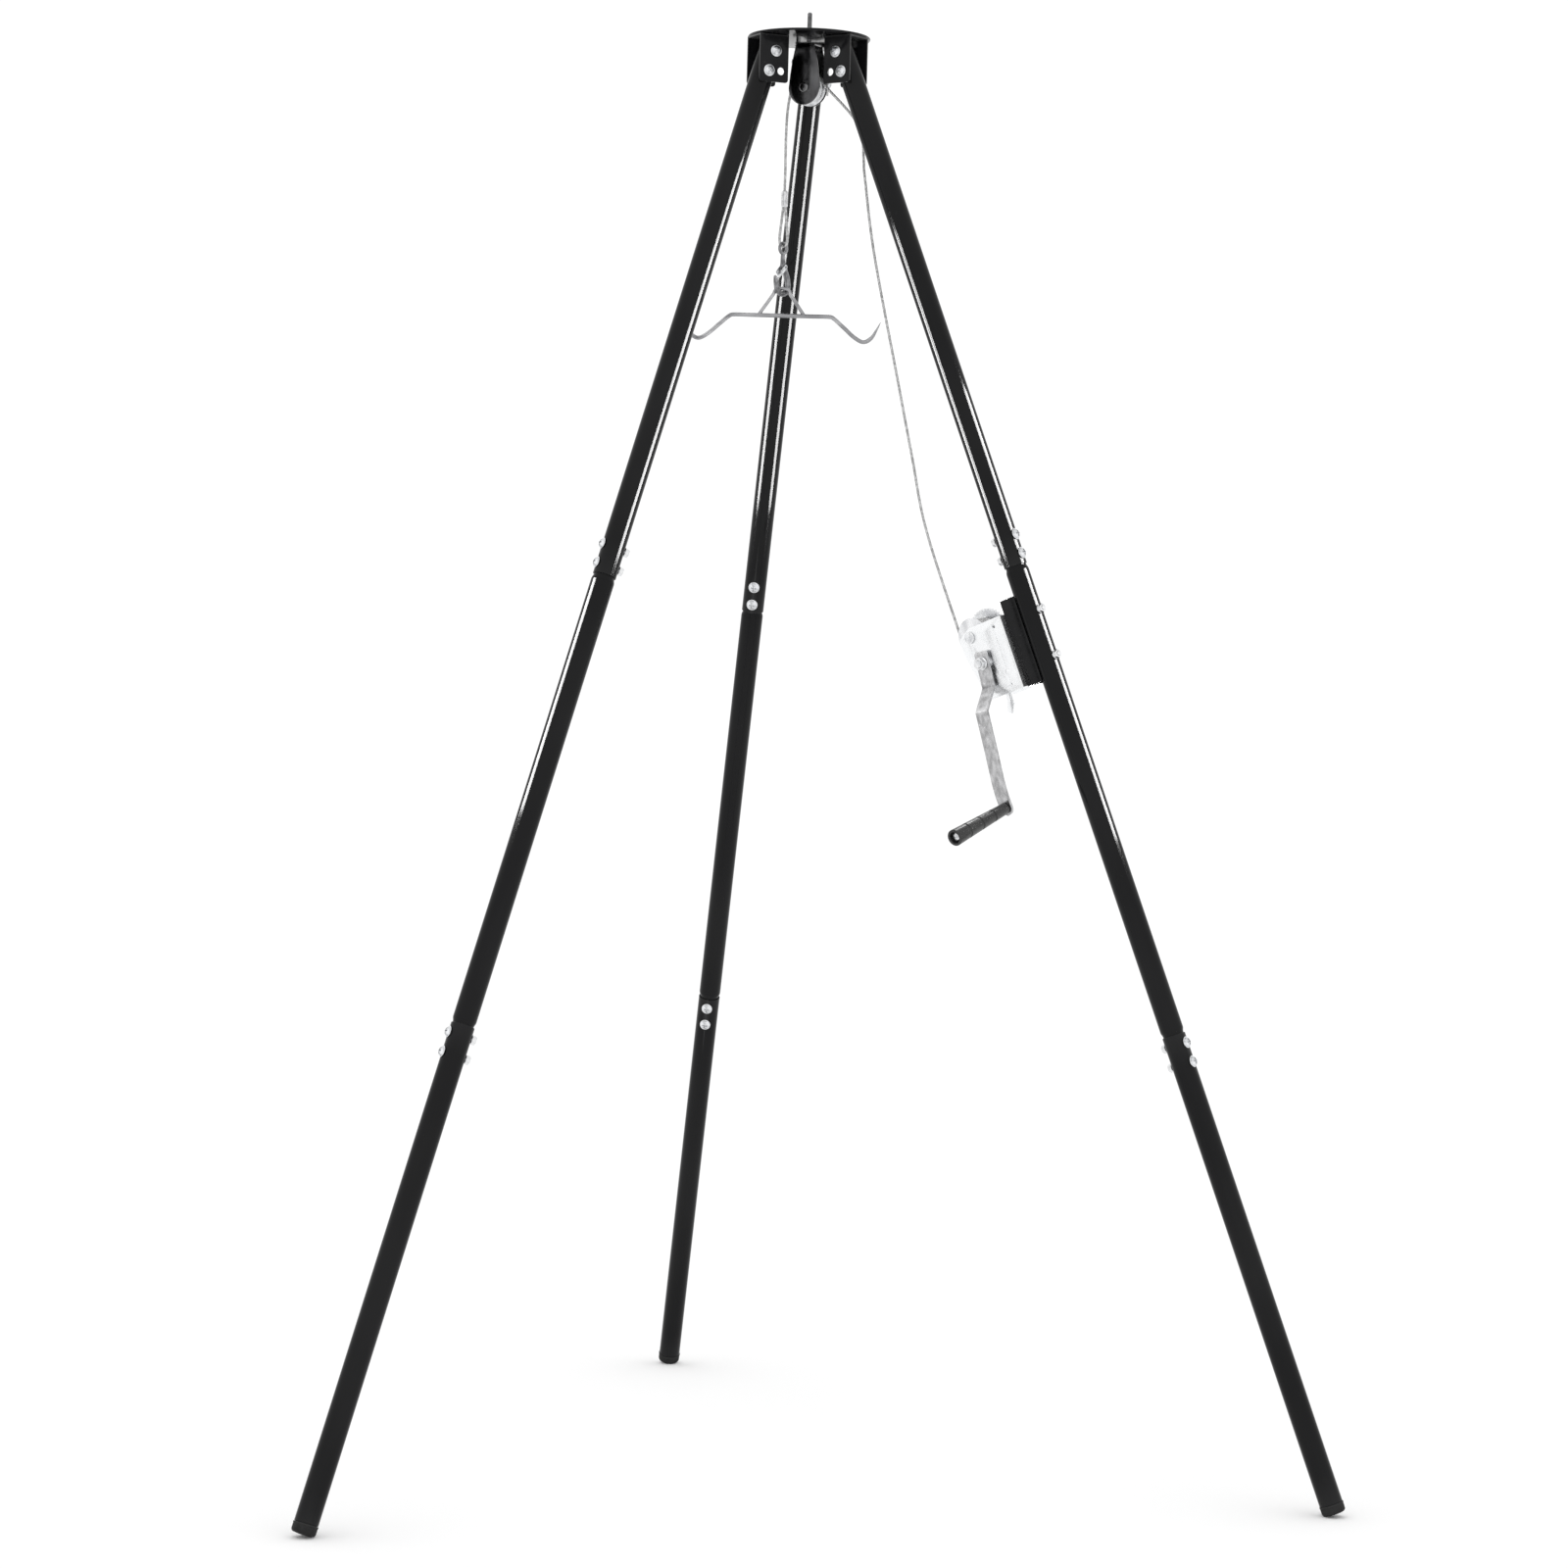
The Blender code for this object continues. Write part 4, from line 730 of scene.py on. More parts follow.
def cap_mesh():
    """A rubber cap: a plug, a beaded collar and a rounded end, cut flat on the floor."""
    end = -LEG_LENGTH + CAP_TOP
    profile = [(0, end + 25 * MM), *about(PLUG_R, end, (-1, 25), (0, 23), (0, 0))]
    profile += about(CAP_R, end, (-0.6, 0), (0, -0.6), (0, -2.4), (-0.5, -3), (-0.5, -11))
    for i in range(1, 9):
        angle = radians(90 * i / 8)
        profile.append((CAP_R - 5.5 * MM + 5 * MM * cos(angle), end - 11 * MM - 5 * MM * sin(angle)))
    profile += about(0, end, (8, -16.9), (0, -17.4))
    bm = bmesh.new()
    bm.from_mesh(turned(profile, ROUND))
    to_leg = LEG.inverted()
    cut = bmesh.ops.bisect_plane(
        bm,
        geom=[*bm.verts, *bm.edges, *bm.faces],
        plane_co=to_leg @ Vector((0, 0, -HEAD_Z)),
        plane_no=to_leg.to_3x3() @ Vector((0, 0, 1)),
        clear_inner=True,
    )
    rim = [item for item in cut["geom_cut"] if isinstance(item, bmesh.types.BMEdge)]
    bmesh.ops.edgeloop_fill(bm, edges=rim)
    return mesh_of(bm)


def bracket_bolt_spots():
    slope = tan(SPLAY) * cos(WHIRL)
    return [(LEG_OUT + (drop - BRACKET_MID) * slope, drop) for drop in BRACKET_BOLTS]


def bracket_mesh():
    """A pressed channel with rounded corners, holes for its bolts and a spare hole, and weld beads on top."""
    top, bottom, corner = -GAP, -BRACKET_H, 5 * MM
    outline = [(BRACKET_IN, top)]
    for centre_x, start in ((BRACKET_IN + corner, 180), (BRACKET_OUT - corner, 270)):
        for i in range(7):
            angle = radians(start + 15 * i)
            outline.append((centre_x + corner * cos(angle), bottom + corner + corner * sin(angle)))
    outline.append((BRACKET_OUT, top))
    half = BRACKET_GAP / 2
    outer = half + BRACKET_T
    room = block((BRACKET_IN - 0.01, -half, bottom - 0.01), (BRACKET_OUT + 0.01, half, top - BRACKET_T))
    holes = [(out, drop, BOLT_HOLE_R) for out, drop in bracket_bolt_spots()] + [SPARE_HOLE]
    cuts = [hole_y(out, -drop, radius) for out, drop, radius in holes]
    shell = bevelled(carved(extruded(outline, -outer, outer), room, *cuts), 0.7 * MM, 3)
    beads = []
    for side in (-1, 1):
        line = []
        for i in range(33):
            x = BRACKET_IN + 3 * MM + (BRACKET_OUT - BRACKET_IN - 6 * MM) * i / 32
            line.append(Vector((x, side * (outer + 0.4 * MM), -1.9 * MM)))
        beads.append(bar_mesh(line, 1.5 * MM, 12, [0.85 + 0.15 * sin(i * 2.4) for i in range(len(line))]))
    return merged(shell, *beads)


def build_legs():
    bracket_grip = BRACKET_GAP + 2 * BRACKET_T + 2 * GAP
    bracket_bolt, joint_bolt = bolt_mesh(bracket_grip), bolt_mesh(2 * TUBE_R + 2 * GAP)
    bracket, cap = bracket_mesh(), cap_mesh()
    to_leg = LEG.inverted()
    winch_seat = shift(0, 0, -WINCH_DOWN) @ turn_z(WINCH_YAW)
    for side, leg in LEGS.items():
        shoulder, low_shoulder = -SHOULDER_1[side], -SHOULDER_2[side]
        stand_in(f"bracket_{side}", bracket, SOCKETS[side], PRESSED_ENAMEL)
        bracket_holes = [
            rod(*[to_leg @ Vector((out, y, -drop)) for y in (-CUT_REACH, CUT_REACH)], BOLT_HOLE_R)
            for out, drop in bracket_bolt_spots()
        ]
        upper_holes = holes_x([shoulder + along for along in JOINT_BOLTS])
        lower_holes = holes_x([low_shoulder - along for along in JOINT_BOLTS])
        winch_holes = [moved(hole, winch_seat) for hole in holes_x(WINCH_BOLTS)] if side == "right" else []
        upper = carved(tube_mesh(TUBE_TOP, shoulder + GAP), *bracket_holes, *upper_holes)
        middle = carved(middle_mesh(shoulder, low_shoulder), *upper_holes, *lower_holes, *winch_holes)
        lower = carved(tube_mesh(low_shoulder - GAP, -LEG_LENGTH + CAP_TOP + GAP), *lower_holes)
        stand_in(f"upper_leg_{side}", upper, leg)
        stand_in(f"middle_leg_{side}", middle, leg)
        stand_in(f"lower_leg_{side}", lower, leg)
        stand_in(f"foot_cap_{side}", cap, leg)
        near, turn = (1, ALONG_Y) if side == "left" else (-1, ALONG_Y.inverted())
        for i, (out, drop) in enumerate(bracket_bolt_spots(), 1):
            spot = shift(out, near * bracket_grip / 2, -drop)
            stand_in(f"bracket_bolt_{side}_{i}", bracket_bolt, SOCKETS[side] @ spot @ turn @ turn_z(0.4 * i))
        facing, turn = (-1, ALONG_X.inverted()) if side == "rear" else (1, ALONG_X)
        for level, start, sign in (("upper", shoulder, 1), ("lower", low_shoulder, -1)):
            for i, along in enumerate(JOINT_BOLTS, 1):
                spot = shift(facing * (TUBE_R + GAP), 0, start + sign * along)
                stand_in(f"{level}_joint_bolt_{side}_{i}", joint_bolt, leg @ spot @ turn)


# ---------------------------------------------------------------- head


def build_head():
    hole, edge = STUD_R + 0.5 * MM, HEAD_R - 2 * MM
    ring = [(hole, 0.3 * MM), (hole + 0.3 * MM, 0), (edge, 0)]
    for i in range(1, 12):
        angle = radians(-90 + 180 * i / 12)
        ring.append((edge + 2 * MM * cos(angle), HEAD_T / 2 + HEAD_T / 2 * sin(angle)))
    ring += [(edge, HEAD_T), (0.5 * HEAD_R, HEAD_T), *about(hole, HEAD_T, (0.3, 0), (0, -0.3))]
    stand_in("head_plate", turned(ring, 128), HEAD, PRESSED_ENAMEL)


# ---------------------------------------------------------------- pulley


def cheek_outline(grow=0.0):
    """A teardrop about the axle, drawn as one smooth line; grow moves it in or out."""
    top = SHEAVE_DROP - CHEEK_TOP_DROP
    radius = CHEEK_R + grow
    start, steps = radians(12), 40
    outline = []
    for i in range(steps + 1):
        angle = start - i * (pi + 2 * start) / steps
        outline.append((radius * cos(angle), radius * sin(angle)))
    start_x, start_z = outline[-1]
    left = []
    for i in range(1, 13):
        share = i / 12
        middle = 1 - (2 * share - 1) ** 2
        x = start_x + (-CHEEK_TOP_HALF - grow - start_x) * share - 1.6 * MM * middle
        left.append((x, start_z + (top + grow - start_z) * share))
    return outline + left + [(-x, z) for x, z in reversed(left)]


def cheek_mesh(side):
    """One stamped cheek: a raised face inside a rounded rim."""
    rings = about(0, CHEEK_IN, (0, 0), (0, 1.2), (-0.5, 1.9), (-1.6, 2.2))
    rings += about(0, CHEEK_IN + CHEEK_T, (-3.4, -0.5), (-6, -0.1), (-9, 0))
    return skinned([[(x, side * y, z) for x, z in cheek_outline(grow)] for grow, y in rings])


def build_pulley():
    top = SHEAVE_DROP - CHEEK_TOP_DROP
    hole = STUD_R + GAP
    wide = CHEEK_IN + 1 * MM
    bridge = block((-CHEEK_TOP_HALF, -wide, top - 4 * MM), (CHEEK_TOP_HALF, wide, top))
    bridge = bevelled(carved(bridge, rod((0, 0, top - 0.02), (0, 0, top + 0.01), hole)), 0.6 * MM)
    cheeks = [carved(cheek_mesh(side), hole_y(0, 0, 5.3 * MM)) for side in (-1, 1)]
    stand_in("pulley_housing", merged(*cheeks, bridge), AXLE)

    half, flange, bore = 10 * MM, 28 * MM, 5.4 * MM
    groove = SHEAVE_PITCH_R - ROPE_R - GAP
    profile = about(bore, -half, (0, 0), (5, 0), (6, 1.5))
    profile += about(flange, -half, (-6, 1.5), (-4.5, 0), (-1, 0), (0, 1), (-0.3, 1.7))
    profile += [(groove + 1.4 * MM, -0.3 * half), (groove + 0.3 * MM, -0.2 * half), (groove, 0)]
    profile += [(r, -z) for r, z in reversed(profile[:-1])]
    stand_in("sheave", moved(turned(profile, 96), ALONG_Y), AXLE)

    side = CHEEK_IN + CHEEK_T + GAP
    dome = about(0, side, (5, 0), (7.5, 0), (7.5, 0.5), (6.8, 1.2), (5, 1.8), (2, 2), (0, 2))
    profile = [(r, -z) for r, z in reversed(dome)] + dome
    stand_in("pulley_axle", moved(turned(profile, 48), ALONG_Y), AXLE, NICKEL)

    stud_top = HEAD_T + STUD_UP
    under = -CHEEK_TOP_DROP - 4 * MM - GAP
    stud = about(0, under, (0, -5), (7.4, -5), (8, -4.4), (8, 0)) + [(STUD_R, under), (STUD_R, 0)]
    stud += [*threaded(STUD_R, 0, stud_top - 1.5 * MM), (STUD_R - 1.2 * MM, stud_top), (0, stud_top)]
    stand_in("swivel_stud", turned(stud, 32), SWIVEL, STUD_METAL)
    flat = HEAD_T + GAP
    collar = [(hole, flat), *about(0, flat, (10.6, 0), (11, 0.5), (10.8, 1.2), (7, 2)), (hole, flat + 2 * MM)]
    nut = merged(turned(collar, 48), hexagon(7.5 * MM, flat + 2 * MM, flat + 9 * MM, hole))
    stand_in("stud_nut", nut, SWIVEL)


# ---------------------------------------------------------------- rope


def sheave_point(angle):
    return Vector((SHEAVE_PITCH_R * cos(angle), 0, SHEAVE_PITCH_R * sin(angle)))


def rope_piece(node, line, matrix):
    """A laid rope along a line of the given frame. Returns it and its line in the row's frame."""
    mesh, path = rope_mesh([matrix @ p for p in line])
    return stand_in(node, mesh, Matrix.Identity(4), angle=80), path


def build_rope():
    steps = 24
    left, right = ROPE_LEAVES_LEFT, ROPE_LEAVES_RIGHT
    over = [sheave_point(left + (right - left) * i / steps) for i in range(steps + 1)]
    leaving = Vector((sin(right), 0, -cos(right)))
    over += [over[-1] + leaving * 14 * MM]
    rope_piece("cable_over_sheave", over, AXLE)

    falling = Vector((-sin(left), 0, cos(left)))
    route = [over[0] + falling * 0.5 * MM, *upright(about(0, 0, (-31.5, -4), (-36.6, -35), (-38.3, -75)))]
    route += upright([(-FALL_OUT, -120 * MM), (-FALL_OUT, -LOOP_TOP + GAP)])
    fall, path = rope_piece("cable_fall", smooth_line(route, 4 * MM), AXLE)
    release(fall)
    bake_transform(fall)

    begin = AXLE @ (over[-1] + leaving * 0.5 * MM)
    centre = WINCH @ Vector((DRUM_X, -17 * MM, DRUM_Z))
    shaft_way = WINCH.to_3x3() @ Vector((0, 1, 0))
    radius = WRAP_R + ROPE_R + GAP
    to_sheave = begin - centre
    flat = to_sheave - to_sheave.dot(shaft_way) * shaft_way
    side = flat.normalized().cross(shaft_way)
    if side.dot(WINCH.to_3x3() @ Vector((-1, 0, 0))) < 0:
        side = -side
    swing = asin(radius / flat.length)
    end = centre + radius * (side * cos(swing) + flat.normalized() * sin(swing))
    chord = end - begin
    outward = Vector((chord.x, chord.y, 0)).normalized()
    stand_off = (outward - outward.dot(chord.normalized()) * chord.normalized()).normalized()
    route = [begin, begin + (AXLE.to_3x3() @ leaving) * 12 * MM]
    route += [begin + chord * share + stand_off * off for share, off in RUN_BOW]
    route.append(end)
    run, path = rope_piece("cable_run", smooth_line(route, 4 * MM), Matrix.Identity(4))
    release(run)
    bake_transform(run)


def release(obj):
    """Takes a piece off its body."""
    world = obj.matrix_world.copy()
    obj.parent = None
    obj.matrix_world = world


# ---------------------------------------------------------------- hook and gambrel


def build_loop():
    """The pressed ferrule and the rope's end loop under it."""
    low, high = LOOP_LENGTH, LOOP_LENGTH + FERRULE_LENGTH
    profile = [(0, low), *about(FERRULE_R, low, (-1.6, 0), (-0.4, 1), (0, 2.4))]
    for i in range(1, 6):
        z = low + 2.4 * MM + (FERRULE_LENGTH - 4.8 * MM) * i / 6
        profile += about(FERRULE_R, z, (0, -0.9), (-0.35, 0), (0, 0.9))
    profile += [*about(FERRULE_R, high, (0, -2.4), (-0.4, -1), (-1.6, 0)), (0, high)]
    ferrule = turned(profile, 40)
    half_loop = about(0, low, (-2.6, 4), (-3, -6))
    half_loop += [(-5.5 * MM, 0.62 * LOOP_LENGTH), (-LOOP_HALF, 0.32 * LOOP_LENGTH), (-LOOP_HALF, 7 * MM)]
    half_loop += about(0, 0, (-4.6, 1.4))
    other = [(-y, z) for y, z in reversed(half_loop)]
    line = smooth_line([(0, y, z) for y, z in [*half_loop, (0, 0), *other]], 2.5 * MM)
    loop, _ = rope_mesh(line, 2 * MM)
    both = merged(ferrule, loop)
    both.materials.append(ALUMINIUM)
    both.materials.append(ROPE_WIRE)
    for polygon in both.polygons:
        polygon.material_index = 0 if polygon.index < len(ferrule.polygons) else 1
    both.shade_smooth()
    both.set_sharp_from_angle(angle=radians(50))
    stand_in("cable_end_loop", both, HOOK)


def hook_mesh():
    """A forged slip hook: an eye, a shank and a flattened bowl that thins to a rounded tip."""
    ring_middle = -(HOOK_EYE_R - HOOK_RING_R - ROPE_R - GAP)
    bowl_z = -BOWL_DROP + BOWL_R
    line = [(0, ring_middle - HOOK_EYE_R), *about(0, 0, (0, -22), (-3, -34), (-11.5, -52))]
    for degrees in range(180, 361, 20):
        line.append((BOWL_R * cos(radians(degrees)), bowl_z + BOWL_R * sin(radians(degrees))))
    line += about(0, bowl_z, (15.5, 6), (19, 15))
    line = evened(smooth_line(upright(line), 2 * MM), 1.8 * MM)

    def section(i):
        share = i / (len(line) - 1)
        size = 0.72 + 0.28 * min(1, 2.6 * share)
        if share > 0.86:
            size *= max(0.28, 1 - ((share - 0.86) / 0.14) ** 2 * 0.62)
        wide = 1 + 0.18 * max(0, sin(pi * min(1, share / 0.4)))
        return [(u, v * wide) for u, v in circle(HOOK_R * size, 24)]

    ring_line = upright([(x, ring_middle + z) for x, z in circle(HOOK_EYE_R, 48)])
    ring = bar_mesh(ring_line, HOOK_RING_R, 20, closed=True)
    x, z = LATCH_PIN
    pin = bevelled(rod((x, -7 * MM, z), (x, 7 * MM, z), 1.5 * MM, 24), 0.4 * MM)
    return merged(swept(line, section), ring, pin)


def latch_mesh():
    """A sprung sheet latch: two ears on the pin, and a tongue that closes the throat."""
    half, thick, lap = 5.2 * MM, 1 * MM, 0.2 * MM
    reach = Vector((17.2 * MM, -17.4 * MM))
    way = reach.normalized()
    across = Vector((-way.y, way.x))

    def spots(*steps):
        """Points from steps, in millimetres, along the latch and aside from it."""
        return [tuple(way * along * MM + across * aside * MM) for along, aside in steps]

    rear = [radians(90 + 18 * i) for i in range(11)]
    ear = spots(*[(3.4 * cos(angle), 3.4 * sin(angle)) for angle in rear], (14, -3.2), (15.5, 0), (14, 3.2))
    pin_hole = hole_y(0, 0, 1.8 * MM)
    near = bevelled(carved(extruded(ear, -half - thick, -half + lap), pin_hole), 0.2 * MM)
    far = bevelled(carved(extruded(ear, half - lap, half + thick), pin_hole), 0.2 * MM)
    tip = reach.length / MM
    tongue = spots((9.5, -2.2), (tip, -2.2), (tip, -3.2), (9.5, -3.2))
    return merged(near, far, bevelled(extruded(tongue, -half, half), 0.3 * MM))


def gambrel_mesh():
    """A bar with tapered, upturned ends, and a hanger's bow welded on top of it."""
    bow_r = HOOK_R + GAP + HANGER_R + 1 * MM
    foot, taper = 38 * MM, 34 * MM
    half = about(0, BAR_Z, (0, 0), (49.2, 0), (78, 0), (86, -2.5), (103, -17), (120, -32), (136, -40))
    half += about(0, BAR_Z, (149, -33), (157, -20), (164, -6))
    right = smooth_line(upright(half), 2.5 * MM)
    line = evened([Vector((-p.x, 0, p.z)) for p in reversed(right[1:])] + right, 2.5 * MM)
    step = (line[1] - line[0]).length
    shares = []
    for i in range(len(line)):
        from_tip = min(i, len(line) - 1 - i) * step
        shares.append(1 if from_tip > taper else max(0.04, (from_tip / taper) ** 0.75))
    bow = [(foot, BAR_Z), *about(0, 0, (13.9, -0.4), (12.6, 3.8), (9, 7.4)), (4.6 * MM, bow_r - 0.4 * MM)]
    bow += [(0, bow_r), *[(-x, z) for x, z in reversed(bow)]]
    hanger = bar_mesh(evened(smooth_line(upright(bow), 2 * MM), 2 * MM), HANGER_R)
    welds = []
    for sign in (-1, 1):
        seam = []
        for i in range(8):
            angle = 2 * pi * i / 8
            seam.append(Vector((sign * foot + 3.4 * MM * cos(angle), 3.1 * MM * sin(angle), BAR_Z + 2.4 * MM)))
        welds.append(bar_mesh(seam, 1.3 * MM, 10, closed=True))
    return merged(bar_mesh(line, GAMBREL_R, shares=shares), hanger, *welds)


def build_hook():
    build_loop()
    stand_in("hook", hook_mesh(), HOOK)
    stand_in("hook_latch", latch_mesh(), LATCH)
    stand_in("gambrel", gambrel_mesh(), GAMBREL)


# ---------------------------------------------------------------- winch


def gear_outline(teeth, phase):
    """A spur gear's (x, z) outline; phase is the angle of one tooth's middle."""
    pitch_r = MODULE * teeth / 2
    half = 0.4 * pi / teeth
    tip, root = pitch_r + 0.8 * MODULE, pitch_r - 1.1 * MODULE
    narrow = 0.8 * MODULE * tan(radians(20)) / pitch_r
    wide = 1.1 * MODULE * tan(radians(20)) / pitch_r
    outline = []
    for i in range(teeth):
        middle = phase + 2 * pi * i / teeth
        tooth = ((root, -half - wide), (tip, -half + narrow), (tip, half - narrow), (root, half + wide))
        for radius, offset in tooth:
            outline.append((radius * cos(middle + offset), radius * sin(middle + offset)))
    return outline


def rounded_outline(corners, radius=0.0, steps=5):
    """A polygon with its corners rounded. A corner may carry its own radius as a third number."""
    result = []
    count = len(corners)
    for i, corner in enumerate(corners):
        here = Vector(corner[:2])
        r = corner[2] if len(corner) > 2 else radius
        to_before = (Vector(corners[i - 1][:2]) - here).normalized()
        to_after = (Vector(corners[(i + 1) % count][:2]) - here).normalized()
        half = to_before.angle(to_after) / 2
        reach = r / tan(half)
        start, end = here + to_before * reach, here + to_after * reach
        centre = here + (to_before + to_after).normalized() * (r / sin(half))
        a, b = start - centre, end - centre
        sweep = b.angle_signed(a)
        for k in range(steps + 1):
            turn = Matrix.Rotation(sweep * k / steps, 2)
            result.append(tuple(centre + turn @ a))
    return result


def build_winch_frame():
    half_w, inside = MOUNT_HALF_W, MOUNT_HALF_W - MOUNT_T
    body = block((-MOUNT_IN, -half_w, -MOUNT_HALF_H), (-MOUNT_OUT, half_w, MOUNT_HALF_H))
    room = block((-MOUNT_IN + MOUNT_T, -inside, -0.2), (0.01, inside, 0.2))
    mount = bevelled(carved(body, room, *holes_x(WINCH_BOLTS)), 2.2 * MM, 5)
    stand_in("winch_mount", mount, WINCH, PRESSED_ENAMEL)

    base = -MOUNT_IN - GAP
    outer_x = base - FRAME_DEEP
    corners = [
        (base, FRAME_BOTTOM, 1 * MM),
        (base, FRAME_TOP, 1 * MM),
        (base - 72 * MM, FRAME_TOP, 10 * MM),
        (outer_x, FRAME_TOP - 12 * MM, 9 * MM),
        (outer_x, 12 * MM, 10 * MM),
        (base - 78 * MM, FRAME_BOTTOM, 8 * MM),
    ]
    box = extruded(rounded_outline(corners), -FRAME_HALF_W, FRAME_HALF_W)
    inner = FRAME_HALF_W - FRAME_T
    room = block((outer_x - 0.01, -inner, -0.2), (base - FRAME_T, inner, 0.2))
    cuts = [hole_y(DRUM_X, DRUM_Z, BORE_R), hole_y(PINION_X, PINION_Z, BORE_R), *holes_x(WINCH_BOLTS)]
    cuts += [hole_y(base - 20 * MM, z, 3 * MM) for z in (38 * MM, -58 * MM)]
    shell = bevelled(carved(box, room, *cuts), 0.5 * MM)
    rivet = turned(about(0, 0, (0, 0), (3, 0), (3, 12.5), (5, 12.5), (4.4, 13.9), (2, 15.2), (0, 15.5)), 32)
    rivet = moved(rivet, shift(PAWL_X, -17 * MM, PAWL_Z) @ ALONG_Y.inverted())
    stand_in("winch_frame", merged(shell, rivet), WINCH, SHEET_ZINC)

    bolt = bolt_mesh(-base + FRAME_T + TUBE_R + 2 * GAP)
    for i, z in enumerate(WINCH_BOLTS, 1):
        spot = shift(base - FRAME_T - GAP, 0, z)
        stand_in(f"winch_bolt_{i}", bolt, WINCH @ spot @ ALONG_X.inverted())


def wraps_mesh(first, last):
    """Rope wound on the drum: a core and one laid rope in a helix, turn beside turn."""
    pitch = 2 * ROPE_R + 0.15 * MM
    centre_r = WRAP_R - ROPE_R
    turns = int((last - first - 2 * ROPE_R) / pitch)
    start = first + ROPE_R + 0.2 * MM
    line = []
    for i in range(turns * 40 + 1):
        angle = 2 * pi * i / 40
        line.append(Vector((centre_r * cos(angle), centre_r * sin(angle), start + pitch * i / 40)))
    winding, _ = rope_mesh(line, 3.2 * MM)
    inner = DRUM_CORE_R + GAP
    under = turned([(inner, first), (centre_r, first), (centre_r, last), (inner, last)], 64)
    return merged(winding, under)


def build_drum():
    near, far = -24 * MM, 16.4 * MM
    inside = near + 2 * MM
    profile = [(BORE_R, near), *about(DRUM_FLANGE_R, near, (-0.5, 0), (0, 0.5), (0, 1.5), (-0.5, 2))]
    profile += [(DRUM_CORE_R, inside), (DRUM_CORE_R, far), (BORE_R, far)]
    stand_in("cable_drum", moved(turned(profile, 80), ALONG_Y), DRUM)
    wraps = moved(wraps_mesh(inside + GAP, far - GAP), ALONG_Y)
    stand_in("cable_wraps", wraps, DRUM, angle=80)
    to_pinion = atan2(PINION_Z - DRUM_Z, PINION_X - DRUM_X)
    gear = extruded(gear_outline(GEAR_TEETH, to_pinion + pi / GEAR_TEETH), 16.7 * MM, 23 * MM)
    cuts = [hole_y(0, 0, BORE_R)]
    for i in range(5):
        angle = 2 * pi * i / 5 + 0.3
        cuts.append(hole_y(24 * MM * cos(angle), 24 * MM * sin(angle), 5.5 * MM))
    stand_in("drum_gear", bevelled(carved(gear, *cuts), 0.3 * MM, 1), DRUM, GEAR_ZINC)

    side = FRAME_HALF_W + GAP
    ends = about(0, -side, (0, -4), (4, -3.9), (8, -3.2), (9.5, -2), (9.5, 0))
    ends += [(SHAFT_R, -side), (SHAFT_R, side)] + about(0, side, (9.5, 0), (9.5, 6), (8.8, 6.8), (0, 7))
    stand_in("drum_shaft", moved(turned(ends, 48), ALONG_Y), DRUM, GEAR_ZINC)


def arm_mesh():
    """The crank's flat arm: a strap bent outward below the shaft, with rounded ends."""
    high = -FRAME_HALF_W - GAP - CRANK_OFF - CRANK_T / 2
    low = high - CRANK_STEP
    drop = CRANK_LENGTH + 13 * MM + CRANK_BEND
    route = about(high, 0, (0, 19), (0, 0), (0, -36), (-2, -43)) + about(low, 0, (2, -74), (0, -82), (0, -140))
    route += [(low, CRANK_BEND + 3 * MM), (low + drop * sin(GRIP_TILT), CRANK_BEND - drop * cos(GRIP_TILT))]
    line = evened(smooth_line([(0, y, z) for y, z in route], 3 * MM), 3 * MM)

    def section(i):
        from_top, from_end = length_of(line[: i + 1]), length_of(line[i:])
        half = CRANK_HALF_W
        if from_end < CRANK_HALF_W:
            half = max(0.6 * MM, (CRANK_HALF_W**2 - (CRANK_HALF_W - from_end) ** 2) ** 0.5)
        if from_top < 3 * MM:
            half = CRANK_HALF_W - 3 * MM + from_top
        thick, edge = CRANK_T / 2, 0.9 * MM
        quarter = [(thick, half - edge), (thick - edge, half)]
        far = quarter + [(-u, v) for u, v in reversed(quarter)]
        return [(u, -v) for u, v in reversed(far)] + far

    seat = grip_in_crank()
    pin_hole = rod(seat @ Vector((0, 0, -12 * MM)), seat @ Vector((0, 0, 6 * MM)), 4.3 * MM)
    return carved(swept(line, section, hint=Vector((1, 0, 0))), hole_y(0, 0, SHAFT_R + GAP), pin_hole)


